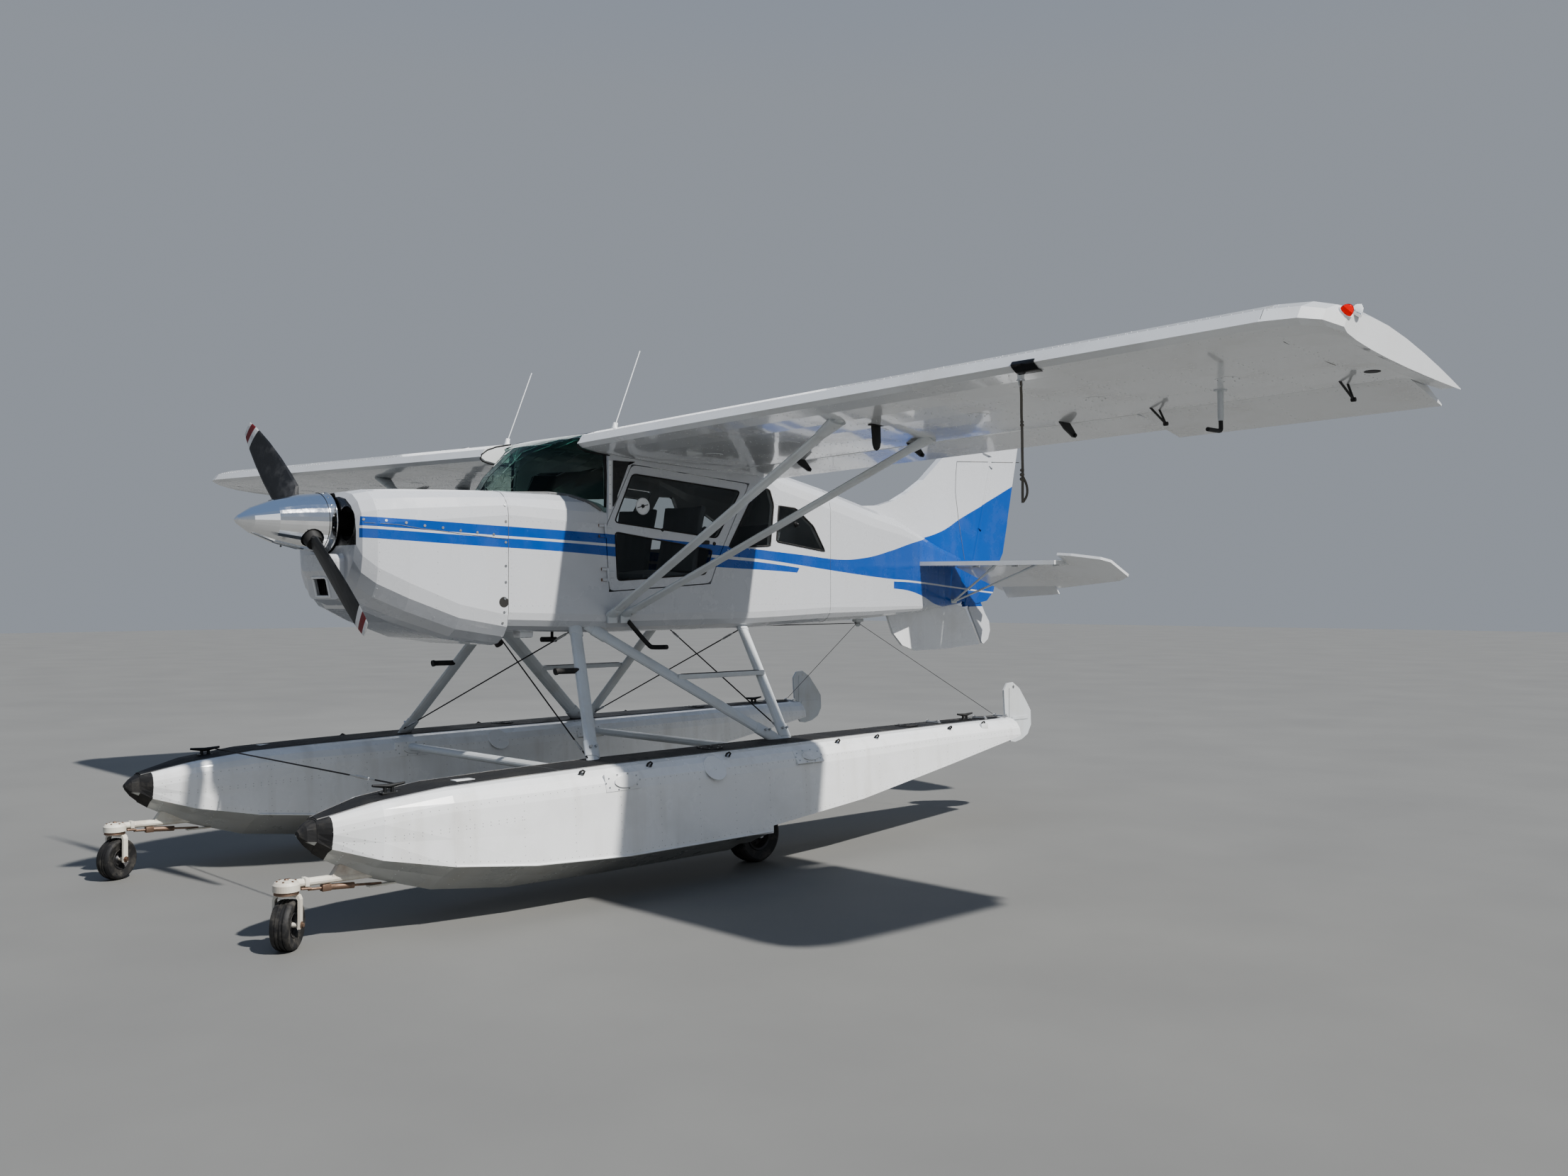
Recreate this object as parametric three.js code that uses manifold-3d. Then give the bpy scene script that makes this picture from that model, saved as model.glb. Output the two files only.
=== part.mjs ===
// Amphibious twin-float bush plane: high strut-braced wing, one nose propeller, floats with wheels down.
// Millimetres, +X to port, +Z up, nose towards -Y. Stations run aft from the tips of the float bows,
// and the whole group is moved forward by `datum` so that the box is centred on the origin.
import * as THREE from 'three';
import { mergeVertices } from 'three/addons/utils/BufferGeometryUtils.js';
import Module from 'manifold-3d';

const wasm = await Module();
wasm.setup();

// Driving dimensions
const datum = 3615;              // station of the middle of the whole length
const gap = 0.3;                 // between pieces that touch
const runningGap = 6;            // between a moving surface and what it swings past
const sides = [
  { side: 'port', sign: 1 },
  { side: 'starboard', sign: -1 },
];

const wing = {
  rootX: 540.3, tipX: 5130, leadingY: 2044, chord: 1600,
  noseZ: 2570, tailZ: 2470, rise: 0.0262, upper: 128, lower: 38,
  hingeShare: 0.745, flapFrom: 640, flapTo: 3670, aileronFrom: 3690, aileronTo: 5000,
};
const droops = { flap: 9.5, aileron: 17 };    // degrees below level, as parked
const cabin = { halfWidth: 540, wall: 32, frontY: 1556, backY: 4400 };
const floats = { x: 1130, stepY: 2850 };
const noseWheel = { swivelY: -52, trail: 15, radius: 119, width: 90, turned: { port: 44, starboard: 28 } };   // degrees
const mainWheel = { y: 2962, radius: 170, width: 140 };
const prop = { y: 560, z: 2072, radius: 940, tilt: -51 };   // tilt of the blades from upright, degrees
const tail = { hingeY: 6380, z: 1920, droop: 23, tipX: 1600, hornX: 1200 };
const rudderHinge = { lowY: 6560, lowZ: 1500, rake: 0.297 };   // rake: metres aft per metre up

// Small helpers
const vec = (x, y, z) => new THREE.Vector3(x, y, z);
const turn = THREE.MathUtils.degToRad;

function bare(geometry) {                      // positions only, shared vertices merged
  const copy = geometry.index ? geometry.clone() : geometry;
  copy.deleteAttribute('normal');
  copy.deleteAttribute('uv');
  return mergeVertices(copy, 1e-3);
}

function volume(geometry) {
  const spot = geometry.attributes.position;
  const index = geometry.index.array;
  const [a, b, c] = [vec(), vec(), vec()];
  let sum = 0;
  for (let n = 0; n < index.length; n += 3) {
    a.fromBufferAttribute(spot, index[n]);
    b.fromBufferAttribute(spot, index[n + 1]);
    c.fromBufferAttribute(spot, index[n + 2]);
    sum += a.dot(b.cross(c));
  }
  return sum / 6;
}

function outward(geometry) {                   // faces point out, whichever way the rings were laid
  if (volume(geometry) < 0) {
    const index = geometry.index.array;
    for (let n = 0; n < index.length; n += 3) {
      [index[n], index[n + 1]] = [index[n + 1], index[n]];
    }
  }
  return geometry;
}

// A skin over rings of points, closed at both ends: a cylinder whose vertices are put on the rings.
function skin(rings) {
  const along = rings.length - 1;
  const around = rings[0].length;
  const geometry = bare(new THREE.CylinderGeometry(1, 1, 1, around, along));
  const spot = geometry.attributes.position;
  for (let n = 0; n < spot.count; n++) {
    const ring = rings[Math.round((spot.getY(n) + 0.5) * along)];
    const share = Math.atan2(spot.getX(n), spot.getZ(n)) / (2 * Math.PI);
    const onAxis = Math.hypot(spot.getX(n), spot.getZ(n)) < 0.5;
    const point = onAxis
      ? ring.reduce((sum, p) => sum.add(p), vec(0, 0, 0)).divideScalar(around)
      : ring[Math.round((share + 1) * around) % around];
    spot.setXYZ(n, point.x, point.y, point.z);
  }
  return outward(geometry);
}

function solid(geometry) {
  const plain = bare(geometry);
  return new wasm.Manifold(new wasm.Mesh({
    numProp: 3,
    vertProperties: new Float32Array(plain.attributes.position.array),
    triVerts: new Uint32Array(plain.index.array),
  }));
}

function shape(manifold) {                     // back to a three.js geometry
  const mesh = manifold.getMesh();
  const geometry = new THREE.BufferGeometry();
  geometry.setAttribute('position', new THREE.BufferAttribute(new Float32Array(mesh.vertProperties), 3));
  geometry.setIndex(new THREE.BufferAttribute(new Uint32Array(mesh.triVerts), 1));
  return geometry;
}

const cut = (geometry, ...tools) => shape(tools.reduce((left, tool) => left.subtract(solid(tool)), solid(geometry)));
const join = (...pieces) => shape(pieces.slice(1).reduce((sum, piece) => sum.add(solid(piece)), solid(pieces[0])));
const common = (a, b) => shape(solid(a).intersect(solid(b)));
const moved = (geometry, x, y, z) => geometry.clone().translate(x, y, z);
const mirrored = (geometry) => outward(bare(geometry.clone()).scale(-1, 1, 1));
const onSide = (geometry, sign) => (sign > 0 ? geometry : mirrored(geometry));

// Cut back from neighbours so that `gap` is left to each, keeping the main piece.
// Each neighbour is [geometry, x, y, z], with the direction in which it lies.
function trimmed(geometry, ...neighbours) {
  let left = solid(geometry);
  for (const [other, x, y, z] of neighbours) {
    left = left.subtract(solid(other)).subtract(solid(moved(other, -x * gap, -y * gap, -z * gap)));
  }
  const parts = left.decompose().sort((a, b) => b.volume() - a.volume());
  return shape(parts[0]);
}

function box(x0, x1, y0, y1, z0, z1) {
  return new THREE.BoxGeometry(x1 - x0, y1 - y0, z1 - z0).translate((x0 + x1) / 2, (y0 + y1) / 2, (z0 + z1) / 2);
}

// Plate outlined in the (y, z) plane and as thick as x0 to x1.
function sidePlate(points, x0, x1) {
  const outline = new THREE.Shape(points.map(([y, z]) => new THREE.Vector2(y, z)));
  const plate = new THREE.ExtrudeGeometry(outline, { depth: x1 - x0, bevelEnabled: false });
  plate.applyMatrix4(new THREE.Matrix4().makeBasis(vec(0, 1, 0), vec(0, 0, 1), vec(1, 0, 0)));
  return plate.translate(x0, 0, 0);
}

// Round or streamlined bar from a to b; `flow` is the direction of its long section.
function bar(a, b, width, depth = width, flow = vec(0, 1, 0), around = 12) {
  const length = a.distanceTo(b);
  const geometry = new THREE.CylinderGeometry(0.5, 0.5, length, around).scale(width, 1, depth);
  const axis = b.clone().sub(a).normalize();
  const long = flow.clone().addScaledVector(axis, -flow.dot(axis)).normalize();
  const across = axis.clone().cross(long);
  geometry.applyMatrix4(new THREE.Matrix4().makeBasis(across, axis, long));
  return geometry.translate((a.x + b.x) / 2, (a.y + b.y) / 2, (a.z + b.z) / 2);
}

// Round bar across the machine, along X.
function crossPin(radius, length, y, z) {
  return new THREE.CylinderGeometry(radius, radius, length, 20).rotateZ(Math.PI / 2).translate(0, y, z);
}

// Outline scaled about its middle so that its edges draw in by about `inset`.
function shrunk(points, inset) {
  const mean = (k) => points.reduce((sum, p) => sum + p[k], 0) / points.length;
  const [my, mz] = [mean(0), mean(1)];
  const reach = Math.min(...[0, 1].map((k) => Math.max(...points.map((p) => Math.abs(p[k] - [my, mz][k])))));
  const k = 1 - inset / reach;
  return points.map(([y, z]) => [my + (y - my) * k, mz + (z - mz) * k]);
}

const aircraft = new THREE.Group();
aircraft.position.y = -datum;

const paint = {
  white: { color: 0xe9ecee, roughness: 0.3, metalness: 0.0 },
  grey: { color: 0xb9bdbf, roughness: 0.4, metalness: 0.1 },
  black: { color: 0x16181a, roughness: 0.6, metalness: 0.0 },
  metal: { color: 0xc8cccf, roughness: 0.15, metalness: 0.95 },
  cream: { color: 0xd9cfb4, roughness: 0.6, metalness: 0.1 },
  rubber: { color: 0x1a1a1a, roughness: 0.85, metalness: 0.0 },
  glass: { color: 0x4d6a66, roughness: 0.08, metalness: 0.0 },
  cloth: { color: 0x5a5f66, roughness: 0.9, metalness: 0.0 },
  rope: { color: 0x6f6a60, roughness: 0.95, metalness: 0.0 },
};

function add(name, geometry, finish, parent = aircraft) {
  const mesh = new THREE.Mesh(geometry, new THREE.MeshStandardMaterial(paint[finish]));
  mesh.name = name;
  parent.add(mesh);
  return mesh;
}

// Fuselage
// Rounded box section at station y: half width, bottom, top and the two corner radii.
function panelRing({ y, w, bottom, top, low, high }, inset = 0) {
  const [half, z0, z1] = [w - inset, bottom + inset, top - inset];
  const corners = [
    { x: half - high, z: z1 - high, r: high, from: 0 },
    { x: half - low, z: z0 + low, r: low, from: 90 },
  ];
  const steps = 4;
  const right = [];
  for (const { x, z, r, from } of corners) {
    for (let k = 0; k <= steps; k++) {
      const angle = turn(from + (90 * k) / steps);
      right.push([x + r * Math.sin(angle), z + r * Math.cos(angle)]);
    }
  }
  const left = right.slice().reverse().map(([x, z]) => [-x, z]);
  return [[0, z1], ...right, [0, z0], ...left].map(([x, z]) => vec(x, y, z));
}

// columns: station, half width, bottom, top, radius of the lower and of the upper corner
const rows = (table) => table.map(([y, w, bottom, top, low, high]) => ({ y, w, bottom, top, low, high }));
const cowlRows = rows([
  [700, 335, 1700, 2210, 250, 200],
  [722, 380, 1640, 2240, 240, 200],
  [790, 425, 1585, 2255, 230, 200],
  [960, 470, 1510, 2264, 220, 190],
  [1250, 515, 1410, 2272, 200, 170],
  [cabin.frontY - gap, 536, 1366, 2280, 180, 150],
]);
const cabinRows = rows([
  [cabin.frontY, 537, 1452, 2282, 110, 150],
  [2280, 540, 1430, 2288, 110, 190],
  [2290, 540, 1430, 2690, 110, 60],
  [3560, 540, 1438, 2588, 110, 70],
  [3800, 515, 1444, 2552, 110, 150],
  [cabin.backY, 445, 1462, 2465, 110, 170],
]);
const tailconeRows = rows([
  [cabin.backY + gap, 445, 1462, 2465, 110, 170],
  [5000, 335, 1480, 2372, 90, 180],
  [5500, 225, 1503, 2290, 70, 150],
  [5840, 145, 1520, 2180, 50, 100],
  [6240, 65, 1562, 2060, 30, 50],
  [6500, 36, 1590, 1990, 18, 24],
]);

// The cabin's skin drawn in by `inset`, its end walls `front` and `back` thick, and the wall over the deck `inset`.
function cabinSkin(inset, front, back) {
  const shift = [front, inset, inset, 0, 0, -back];
  return skin(cabinRows.map((row, k) => panelRing({ ...row, y: row.y + shift[k] }, inset)));
}
const glass = 6;
const cabinOuter = cabinSkin(0, 0, 0);
const cabinInner = cabinSkin(cabin.wall, 6, 8);
const glassInner = cabinSkin(glass, 0, 0);

// Windshield: a bubble that stands on the deck, in level slices that curve back from the middle to the sides.
// columns: height, station of the middle, station of the sides, half width
const bubbleRows = [
  [2160, 1640, 2262, 522],
  [2290, 1690, 2272, 524],
  [2402, 1768, 2282, 522],
  [2486, 1859, 2290, 518],
  [2560, 1940, 2262, 506],
  [2605, 2000, 2220, 490],
  [2639, 2083, 2185, 470],
  [2668, 2180, 2225, 440],
  [2684, 2262, 2290, 400],
  [2688, 2300, 2312, 380],
];
function bubble(inset, aft) {                  // drawn in by `inset`, closed at station `aft` inside the cabin
  const last = bubbleRows.length - 1;
  const across = [-1, -0.86, -0.7, -0.53, -0.35, -0.18, 0, 0.18, 0.35, 0.53, 0.7, 0.86, 1];
  return skin(bubbleRows.map(([height, middle, side, half], k) => {
    const [before, after] = [bubbleRows[Math.max(0, k - 1)], bubbleRows[Math.min(last, k + 1)]];
    const [rise, run] = [after[0] - before[0], after[1] - before[1]];
    const [back, down] = [rise, run].map((v) => (inset * v) / Math.hypot(rise, run));
    const front = across.map((share) => (
      vec(share * (half - inset), middle + back + (side - middle) * share ** 2, height - down)));
    return [...front, vec(half - inset, aft, height - down), vec(inset - half, aft, height - down)];
  }));
}

// Outlines in the side view, as [station, height]
const openings = {
  door: [[2468, 2490], [2258, 2080], [2288, 1682], [3136, 1736], [3236, 1962], [3492, 2426]],
  rearWindow: [[3560, 2395], [3300, 1985], [3700, 2010], [3735, 2290], [3690, 2395]],
  quarterWindow: [[3800, 2285], [3775, 2040], [4330, 1985], [4190, 2160], [3990, 2275]],
};
const doorPanes = {
  upper: [[2470, 2430], [2318, 2122], [3196, 2042], [3412, 2372]],
  lower: [[2330, 2062], [2350, 1748], [3092, 1796], [3160, 1962]],
};

// Door hinge line along the front edge of the door, just proud of the skin.
const doorHinge = { x: 550, y: 2284, z: 1682, lean: -34 / 446, pin: 8, heights: [1790, 2060], half: 22 };
const onHinge = (z) => vec(doorHinge.x, doorHinge.y + (z - doorHinge.z) * doorHinge.lean, z);
function knuckle(from, to, reach) {           // a sleeve on the hinge line, with a strap that runs aft by `reach`
  const [a, b] = [onHinge(from), onHinge(to)];
  const [y0, y1] = reach > 0 ? [a.y, a.y + reach] : [a.y + reach, a.y];
  const strap = box(541, doorHinge.x, y0, y1, from + 2, to - 2);
  const root = reach > 0 ? box(534, 545, y0 + 16, y1, from + 2, to - 2) : box(534, 545, y0, y1 - 4, from + 2, to - 2);
  return join(bar(a, b, 2 * doorHinge.pin, 2 * doorHinge.pin, vec(0, 1, 0), 16), strap, root);
}
const wallOnly = cut(cabinOuter, cabinInner);

function cabinShell() {
  const side = cabin.halfWidth + 60;
  const through = ['door', 'rearWindow', 'quarterWindow'].map((name) => sidePlate(openings[name], -side, side));
  const lugs = doorHinge.heights.flatMap((z) => [
    knuckle(z - doorHinge.half - gap - 20, z - doorHinge.half - gap, -46),
    knuckle(z + doorHinge.half + gap, z + doorHinge.half + gap + 20, -46),
  ]);
  return join(cut(wallOnly, bubble(24, 2340), ...through), ...lugs, ...lugs.map(mirrored));
}
add('cabin_shell', cabinShell(), 'white');

function pane(outline) {
  const skinOnly = cut(cabinOuter, glassInner);
  return common(skinOnly, sidePlate(shrunk(outline, gap), -700, 700));
}
add('windshield', trimmed(cut(bubble(0, 2400), bubble(glass, 2400)), [cabinOuter, 0, 0, -1], [cabinOuter, 0, 1, 0]), 'glass');
for (const { side, sign } of sides) {
  const half = box(Math.min(sign * 20, sign * 700), Math.max(sign * 20, sign * 700), 2000, 5000, 1000, 3000);
  add(`rear_window_${side}`, common(pane(openings.rearWindow), half), 'glass');
  add(`quarter_window_${side}`, common(pane(openings.quarterWindow), half), 'glass');
}

function door() {
  const leaf = common(wallOnly, sidePlate(shrunk(openings.door, runningGap), 20, 700));
  const holes = Object.values(doorPanes).map((outline) => sidePlate(outline, 20, 700));
  const skinOnly = cut(cabinOuter, glassInner);
  const panes = Object.values(doorPanes).map((outline) => common(skinOnly, sidePlate(shrunk(outline, -4), 20, 700)));
  const sleeves = doorHinge.heights.map((z) => knuckle(z - doorHinge.half, z + doorHinge.half, 46));
  return join(cut(leaf, ...holes), ...panes, ...sleeves);
}
const portDoor = door();
for (const { side, sign } of sides) add(`door_${side}`, onSide(portDoor, sign), 'white');

// What shows through the glass, trimmed to the cabin's lining.
const lining = cabinSkin(cabin.wall + gap, 6, 8);
const sheetDrop = 14;                          // of the deck behind the firewall, below the windshield's foot
function instrumentPanel() {
  const deck = sidePlate([
    [1590, 2256 - sheetDrop], [2215, 2182 - sheetDrop], [2215, 2168 - sheetDrop], [1590, 2240 - sheetDrop]], -600, 600);
  const board = box(-600, 600, 2140, 2172, 1900, 2172);
  const yokes = sides.flatMap(({ sign }) => {
    const x = sign * 255;
    return [
      bar(vec(x, 2160, 2000), vec(x, 2330, 2010), 24),
      box(x - 95, x + 95, 2322, 2344, 1992, 2022),
      box(x - 95, x - 70, 2322, 2344, 1992, 2090),
      box(x + 70, x + 95, 2322, 2344, 1992, 2090),
    ];
  });
  return common(join(deck, board, ...yokes), lining);
}
add('instrument_panel', instrumentPanel(), 'black');

function seat(x0, x1, y0, backTop) {           // cushion, leaning back and pedestal
  const back = sidePlate([[y0 + 400, 1800], [y0 + 470, 1790], [y0 + 600, backTop], [y0 + 520, backTop + 12]], x0, x1);
  return join(
    box(x0, x1, y0, y0 + 470, 1720, 1830),
    back,
    box(x0 + 50, x1 - 50, y0 + 60, y0 + 420, 1440, 1725),
  );
}
const frontSeats = join(seat(50, 460, 2620, 2270), seat(-460, -50, 2620, 2270), box(-200, 200, 2760, 2800, 1440, 1500));
add('front_seats', common(frontSeats, lining), 'cloth');
add('rear_bench', common(seat(-430, 430, 3400, 2180), lining), 'cloth');

const cowlOuter = skin(cowlRows.map((row) => panelRing(row)));
const cowlInner = skin(cowlRows.map((row, k) => panelRing({ ...row, y: row.y + (k ? 10 : 12) + (k === 5 ? 60 : 0) }, 14)));
const shaftHole = new THREE.CylinderGeometry(175, 175, 200, 32).translate(0, 690, prop.z);
const inlets = sides.map(({ sign }) => (
  new THREE.CylinderGeometry(95, 95, 200, 24).translate(sign * 235, 690, prop.z - 10)));
// Bulge under the nose, with its air intake in the face below the lip
const scoopRows = rows([
  [628, 165, 1800, 1892, 40, 40],
  [644, 185, 1776, 1894, 50, 45],
  [664, 200, 1752, 1894, 60, 45],
  [688, 212, 1640, 1894, 80, 45],
  [800, 235, 1590, 1960, 110, 60],
  [1050, 250, 1540, 1960, 110, 60],
]);
const chinScoop = (inset) => skin(scoopRows.map((row, k) => (
  panelRing({ ...row, y: row.y + (inset && k < 4 ? inset : 0) + (inset && k === 5 ? 40 : 0) }, inset))));
const intake = box(-80, 80, 600, 740, 1656, 1764);
const scoop = cut(chinScoop(0), chinScoop(14), intake);
add('cowl', cut(join(cut(cowlOuter, chinScoop(14)), scoop), cowlInner, shaftHole, ...inlets), 'white');

const engine = join(
  box(-330, 330, 860, 1400, 1790, 2190),
  new THREE.CylinderGeometry(70, 70, 294.7, 24).translate(0, 742.65, prop.z),
  box(-200, 200, 1390, cabin.frontY - gap, 1700, 2150),
);
add('engine_block', engine, 'black');

// Propeller
function bladeRing(span) {                   // section of a blade at `span` from the hub, blade along +Z
  const share = span / prop.radius;
  const chord = 192 * Math.sqrt(Math.max(0.12, 1 - ((share - 0.45) / 0.62) ** 2)) * (share < 0.2 ? 0.52 : 1);
  const thick = 60 * (1 - share) ** 1.4 + 9;
  const pitch = turn(32 - 27 * share);
  const ring = [];
  for (let k = 0; k < 12; k++) {
    const angle = (k / 12) * 2 * Math.PI;
    const [u, v] = [(chord / 2) * Math.cos(angle), (thick / 2) * Math.sin(angle)];
    ring.push(vec(u * Math.cos(pitch) - v * Math.sin(pitch), u * Math.sin(pitch) + v * Math.cos(pitch), span));
  }
  return ring;
}
const bladeSpans = [40, 178, 240, 340, 500, 660, 800, 900, 935];
const blade = skin(bladeSpans.map(bladeRing));
const spinnerProfile = [[0, -388], [22, -372], [70, -300], [118, -180], [152, -40], [168, 90], [170, 130], [0, 130]];
const spinner = new THREE.LatheGeometry(spinnerProfile.map(([r, y]) => new THREE.Vector2(r, y)), 40);
const hubBore = new THREE.CylinderGeometry(71.5, 71.5, 125, 24).translate(0, 97.5, 0);
const propeller = new THREE.Group();
propeller.position.set(0, prop.y, prop.z);
aircraft.add(propeller);
const bladeSlots = [0, 180].map((angle) => new THREE.CylinderGeometry(62, 62, 155, 20)
  .rotateX(Math.PI / 2).translate(0, 0, 107.5).rotateY(turn(angle + prop.tilt)));
const hubSeat = new THREE.CylinderGeometry(58 + gap, 58 + gap, 70 + 2 * gap, 24);
add('spinner', cut(spinner, ...bladeSlots, hubBore, hubSeat), 'metal', propeller);
const hub = new THREE.CylinderGeometry(58, 58, 70, 24);
const blades = [0, 180].map((angle) => blade.clone().rotateY(turn(angle + prop.tilt)));
add('propeller', join(hub, ...blades), 'black', propeller);

// Wing
const wingZ = (share, x) => wing.noseZ + (wing.tailZ - wing.noseZ) * share + wing.rise * x;
function airfoil(x, scale = 1, shift = 0, drop = 0) {
  const ring = [];
  const steps = 10;
  const bulge = (s) => 2.6 * (0.2969 * Math.sqrt(s) - 0.126 * s - 0.3516 * s ** 2 + 0.2843 * s ** 3 - 0.1036 * s ** 4);
  const place = (s, up) => {
    const local = bulge(s) * (up ? wing.upper : wing.lower) / 0.2603;
    const y = wing.leadingY + shift + s * wing.chord * scale;
    return vec(x, y, wingZ(s, x) - drop + (up ? local : -local) * scale + (up ? 2 : -2));
  };
  for (let k = 0; k <= steps; k++) ring.push(place((1 - Math.cos((Math.PI * k) / steps)) / 2, true));
  for (let k = steps; k > 0; k--) ring.push(place((1 - Math.cos((Math.PI * k) / steps)) / 2, false));
  return ring;
}
// columns: x, share of the chord kept, how far aft the nose moves, droop
const tipRows = [
  [wing.rootX, 1, 0, 0], [4880, 1, 0, 0], [5020, 0.95, 30, 4], [5090, 0.88, 90, 14], [5130, 0.78, 190, 34],
];
const wingBlank = skin(tipRows.map(([x, scale, shift, drop]) => airfoil(x, scale, shift, drop)));
const hinge = {
  y: wing.leadingY + wing.hingeShare * wing.chord,
  z: (x) => wingZ(wing.hingeShare, x) + 16,
  radius: 36,
};
const cove = hinge.y - hinge.radius - runningGap;
const slope = Math.atan(wing.rise);
// Pins on the hinge line into the ends of flap and aileron: from the root rib, the middle rib and the tip.
function hingePins(radius, extra = 0) {
  const at = (x) => vec(x, hinge.y, hinge.z(x));
  return [[600, 720], [3610, 3750], [4950, 5040]].map(([x0, x1]) => (
    bar(at(x0 - extra), at(x1 + extra), 2 * radius, 2 * radius, vec(0, 1, 0), 24)));
}
function wingPanel() {
  const notch = box(wing.flapFrom - runningGap, wing.aileronTo + runningGap, cove, 4200, 2300, 3000);
  const tieLug = box(3731, 3751, 2106, 2130, 2611, 2660);
  const rib = sidePlate([
    [cove - 30, hinge.z(3680) + 20], [cove - 30, hinge.z(3680) - 20], [hinge.y, hinge.z(3680) - 12],
    [hinge.y + 12, hinge.z(3680)], [hinge.y, hinge.z(3680) + 12]], 3676, 3684);
  return join(cut(wingBlank, notch), tieLug, rib, ...hingePins(9));
}
const wingCut = wingPanel();

// Trailing surface about its own hinge: nose on the hinge, chord aft, length along x.
function surface(length, radius, chord) {
  const ring = (x) => {
    const points = [];
    for (let k = 0; k <= 6; k++) {
      const angle = turn(90 + (180 * k) / 6);
      points.push(vec(x, radius * Math.cos(angle), radius * Math.sin(angle)));
    }
    points.push(vec(x, chord, -4), vec(x, chord, 4));
    return points;
  };
  return skin([ring(0), ring(length)]);
}

for (const { side, sign } of sides) {
  const placeSurface = (name, from, to, droop, chord) => {
    const length = (to - from) / Math.cos(slope);
    const body = surface(length, hinge.radius, chord);
    body.rotateX(-turn(droop)).rotateY(-slope).translate(from, hinge.y, hinge.z(from));
    add(`${name}_${side}`, onSide(cut(body, ...hingePins(9 + gap, 4)), sign), 'white');
  };
  placeSurface('flap', wing.flapFrom, wing.flapTo, droops.flap, 400);
  placeSurface('aileron', wing.aileronFrom, wing.aileronTo, droops.aileron, 400);
  add(`wing_${side}`, onSide(wingCut, sign), 'white');
}

// Wing struts
const strutFoot = { x: 532, frontY: 2305, rearY: 2405, z: 1532 };
const strutHeads = [
  { name: 'front', x: 2529, y: 2352, z: 2640 },
  { name: 'rear', x: 2572, y: 3121, z: 2610 },
];
for (const { side, sign } of sides) {
  for (const head of strutHeads) {
    const foot = vec(strutFoot.x, head.name === 'front' ? strutFoot.frontY : strutFoot.rearY, strutFoot.z);
    const blank = bar(foot, vec(head.x, head.y, head.z), 34, 84);
    add(`wing_strut_${head.name}_${side}`, onSide(trimmed(blank, [wingCut, 0, 0, 1], [cabinOuter, -1, 0, 0]), sign), 'grey');
  }
}

// Tail
const tailcone = skin(tailconeRows.map((row) => panelRing(row)));
const tailconeWall = 14;
const tailconeInside = skin(tailconeRows.slice(0, 5).map((row, k) => (
  panelRing({ ...row, y: row.y - (k === 0 ? 20 : 0) - (k === 4 ? 20 : 0) }, tailconeWall))));
const hingeAt = (z) => rudderHinge.lowY + (z - rudderHinge.lowZ) * rudderHinge.rake;
const finHalf = 30;
const rudderGap = 34;                          // from the rudder's hinge line to the fin's rear edge
const finOutline = [
  [4975, 2352], [5170, 2374], [5420, 2390], [5620, 2442], [5800, 2524], [5990, 2632], [6270, 2850], [6600, 3100],
  [6700, 3135], [hingeAt(2905) - 150, 2905], [hingeAt(2880) - rudderGap, 2880], [hingeAt(1600) - rudderGap, 1600],
  [6450, 1620], [5850, 1700], [5300, 2150],
];
const finBlank = sidePlate(finOutline, -finHalf, finHalf);
// Rudder hinges: a lug on the fin with a pin up and down into the rudder's nose.
const rudderLugs = [1720, 2240, 2800];
const onRudderLine = (z) => vec(0, hingeAt(z), z);
function finLug(z) {
  return join(
    bar(onRudderLine(z - 8), onRudderLine(z + 8), 32, 32, vec(0, 1, 0), 20),
    bar(onRudderLine(z), onRudderLine(z).add(vec(0, -60, 60 * rudderHinge.rake)), 12, 12),
    bar(onRudderLine(z - 34), onRudderLine(z + 34), 12, 12, vec(0, 1, 0), 20),
  );
}
const lugRoom = (z) => join(
  bar(onRudderLine(z - 8 - gap), onRudderLine(z + 8 + gap), 84, 84, vec(0, 1, 0), 20),
  bar(onRudderLine(z - 36), onRudderLine(z + 36), 12 + 2 * gap, 12 + 2 * gap, vec(0, 1, 0), 20),
);
const finPlate = trimmed(finBlank, [tailcone, 0, 0, -1], [tailcone, 0, -1, 0]);
add('fin', join(finPlate, ...rudderLugs.map(finLug)), 'white');

// Flat plate outlined in the (x, y) plane, between two heights.
function flatPlate(points, z0, z1) {
  const outline = new THREE.Shape(points.map(([x, y]) => new THREE.Vector2(x, y)));
  return new THREE.ExtrudeGeometry(outline, { depth: z1 - z0, bevelEnabled: false }).translate(0, 0, z0);
}
const bothSides = (points) => [...points, ...points.slice().reverse().map(([x, y]) => [-x, y])];
const stabHalf = 17;
const stabEdge = tail.hingeY - 24;             // rear edge of the stabilizer
const stabOutline = (ahead) => bothSides([
  [60, 5752 - ahead], [tail.hornX - 6, 6196 - ahead], [tail.hornX - 6, stabEdge]]);
const stabilizer = flatPlate(stabOutline(0), tail.z - stabHalf, tail.z + stabHalf);
const stabSlot = flatPlate(stabOutline(2 * gap), tail.z - stabHalf - gap, tail.z + stabHalf + gap);
add('stabilizer', stabilizer, 'white');

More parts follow.
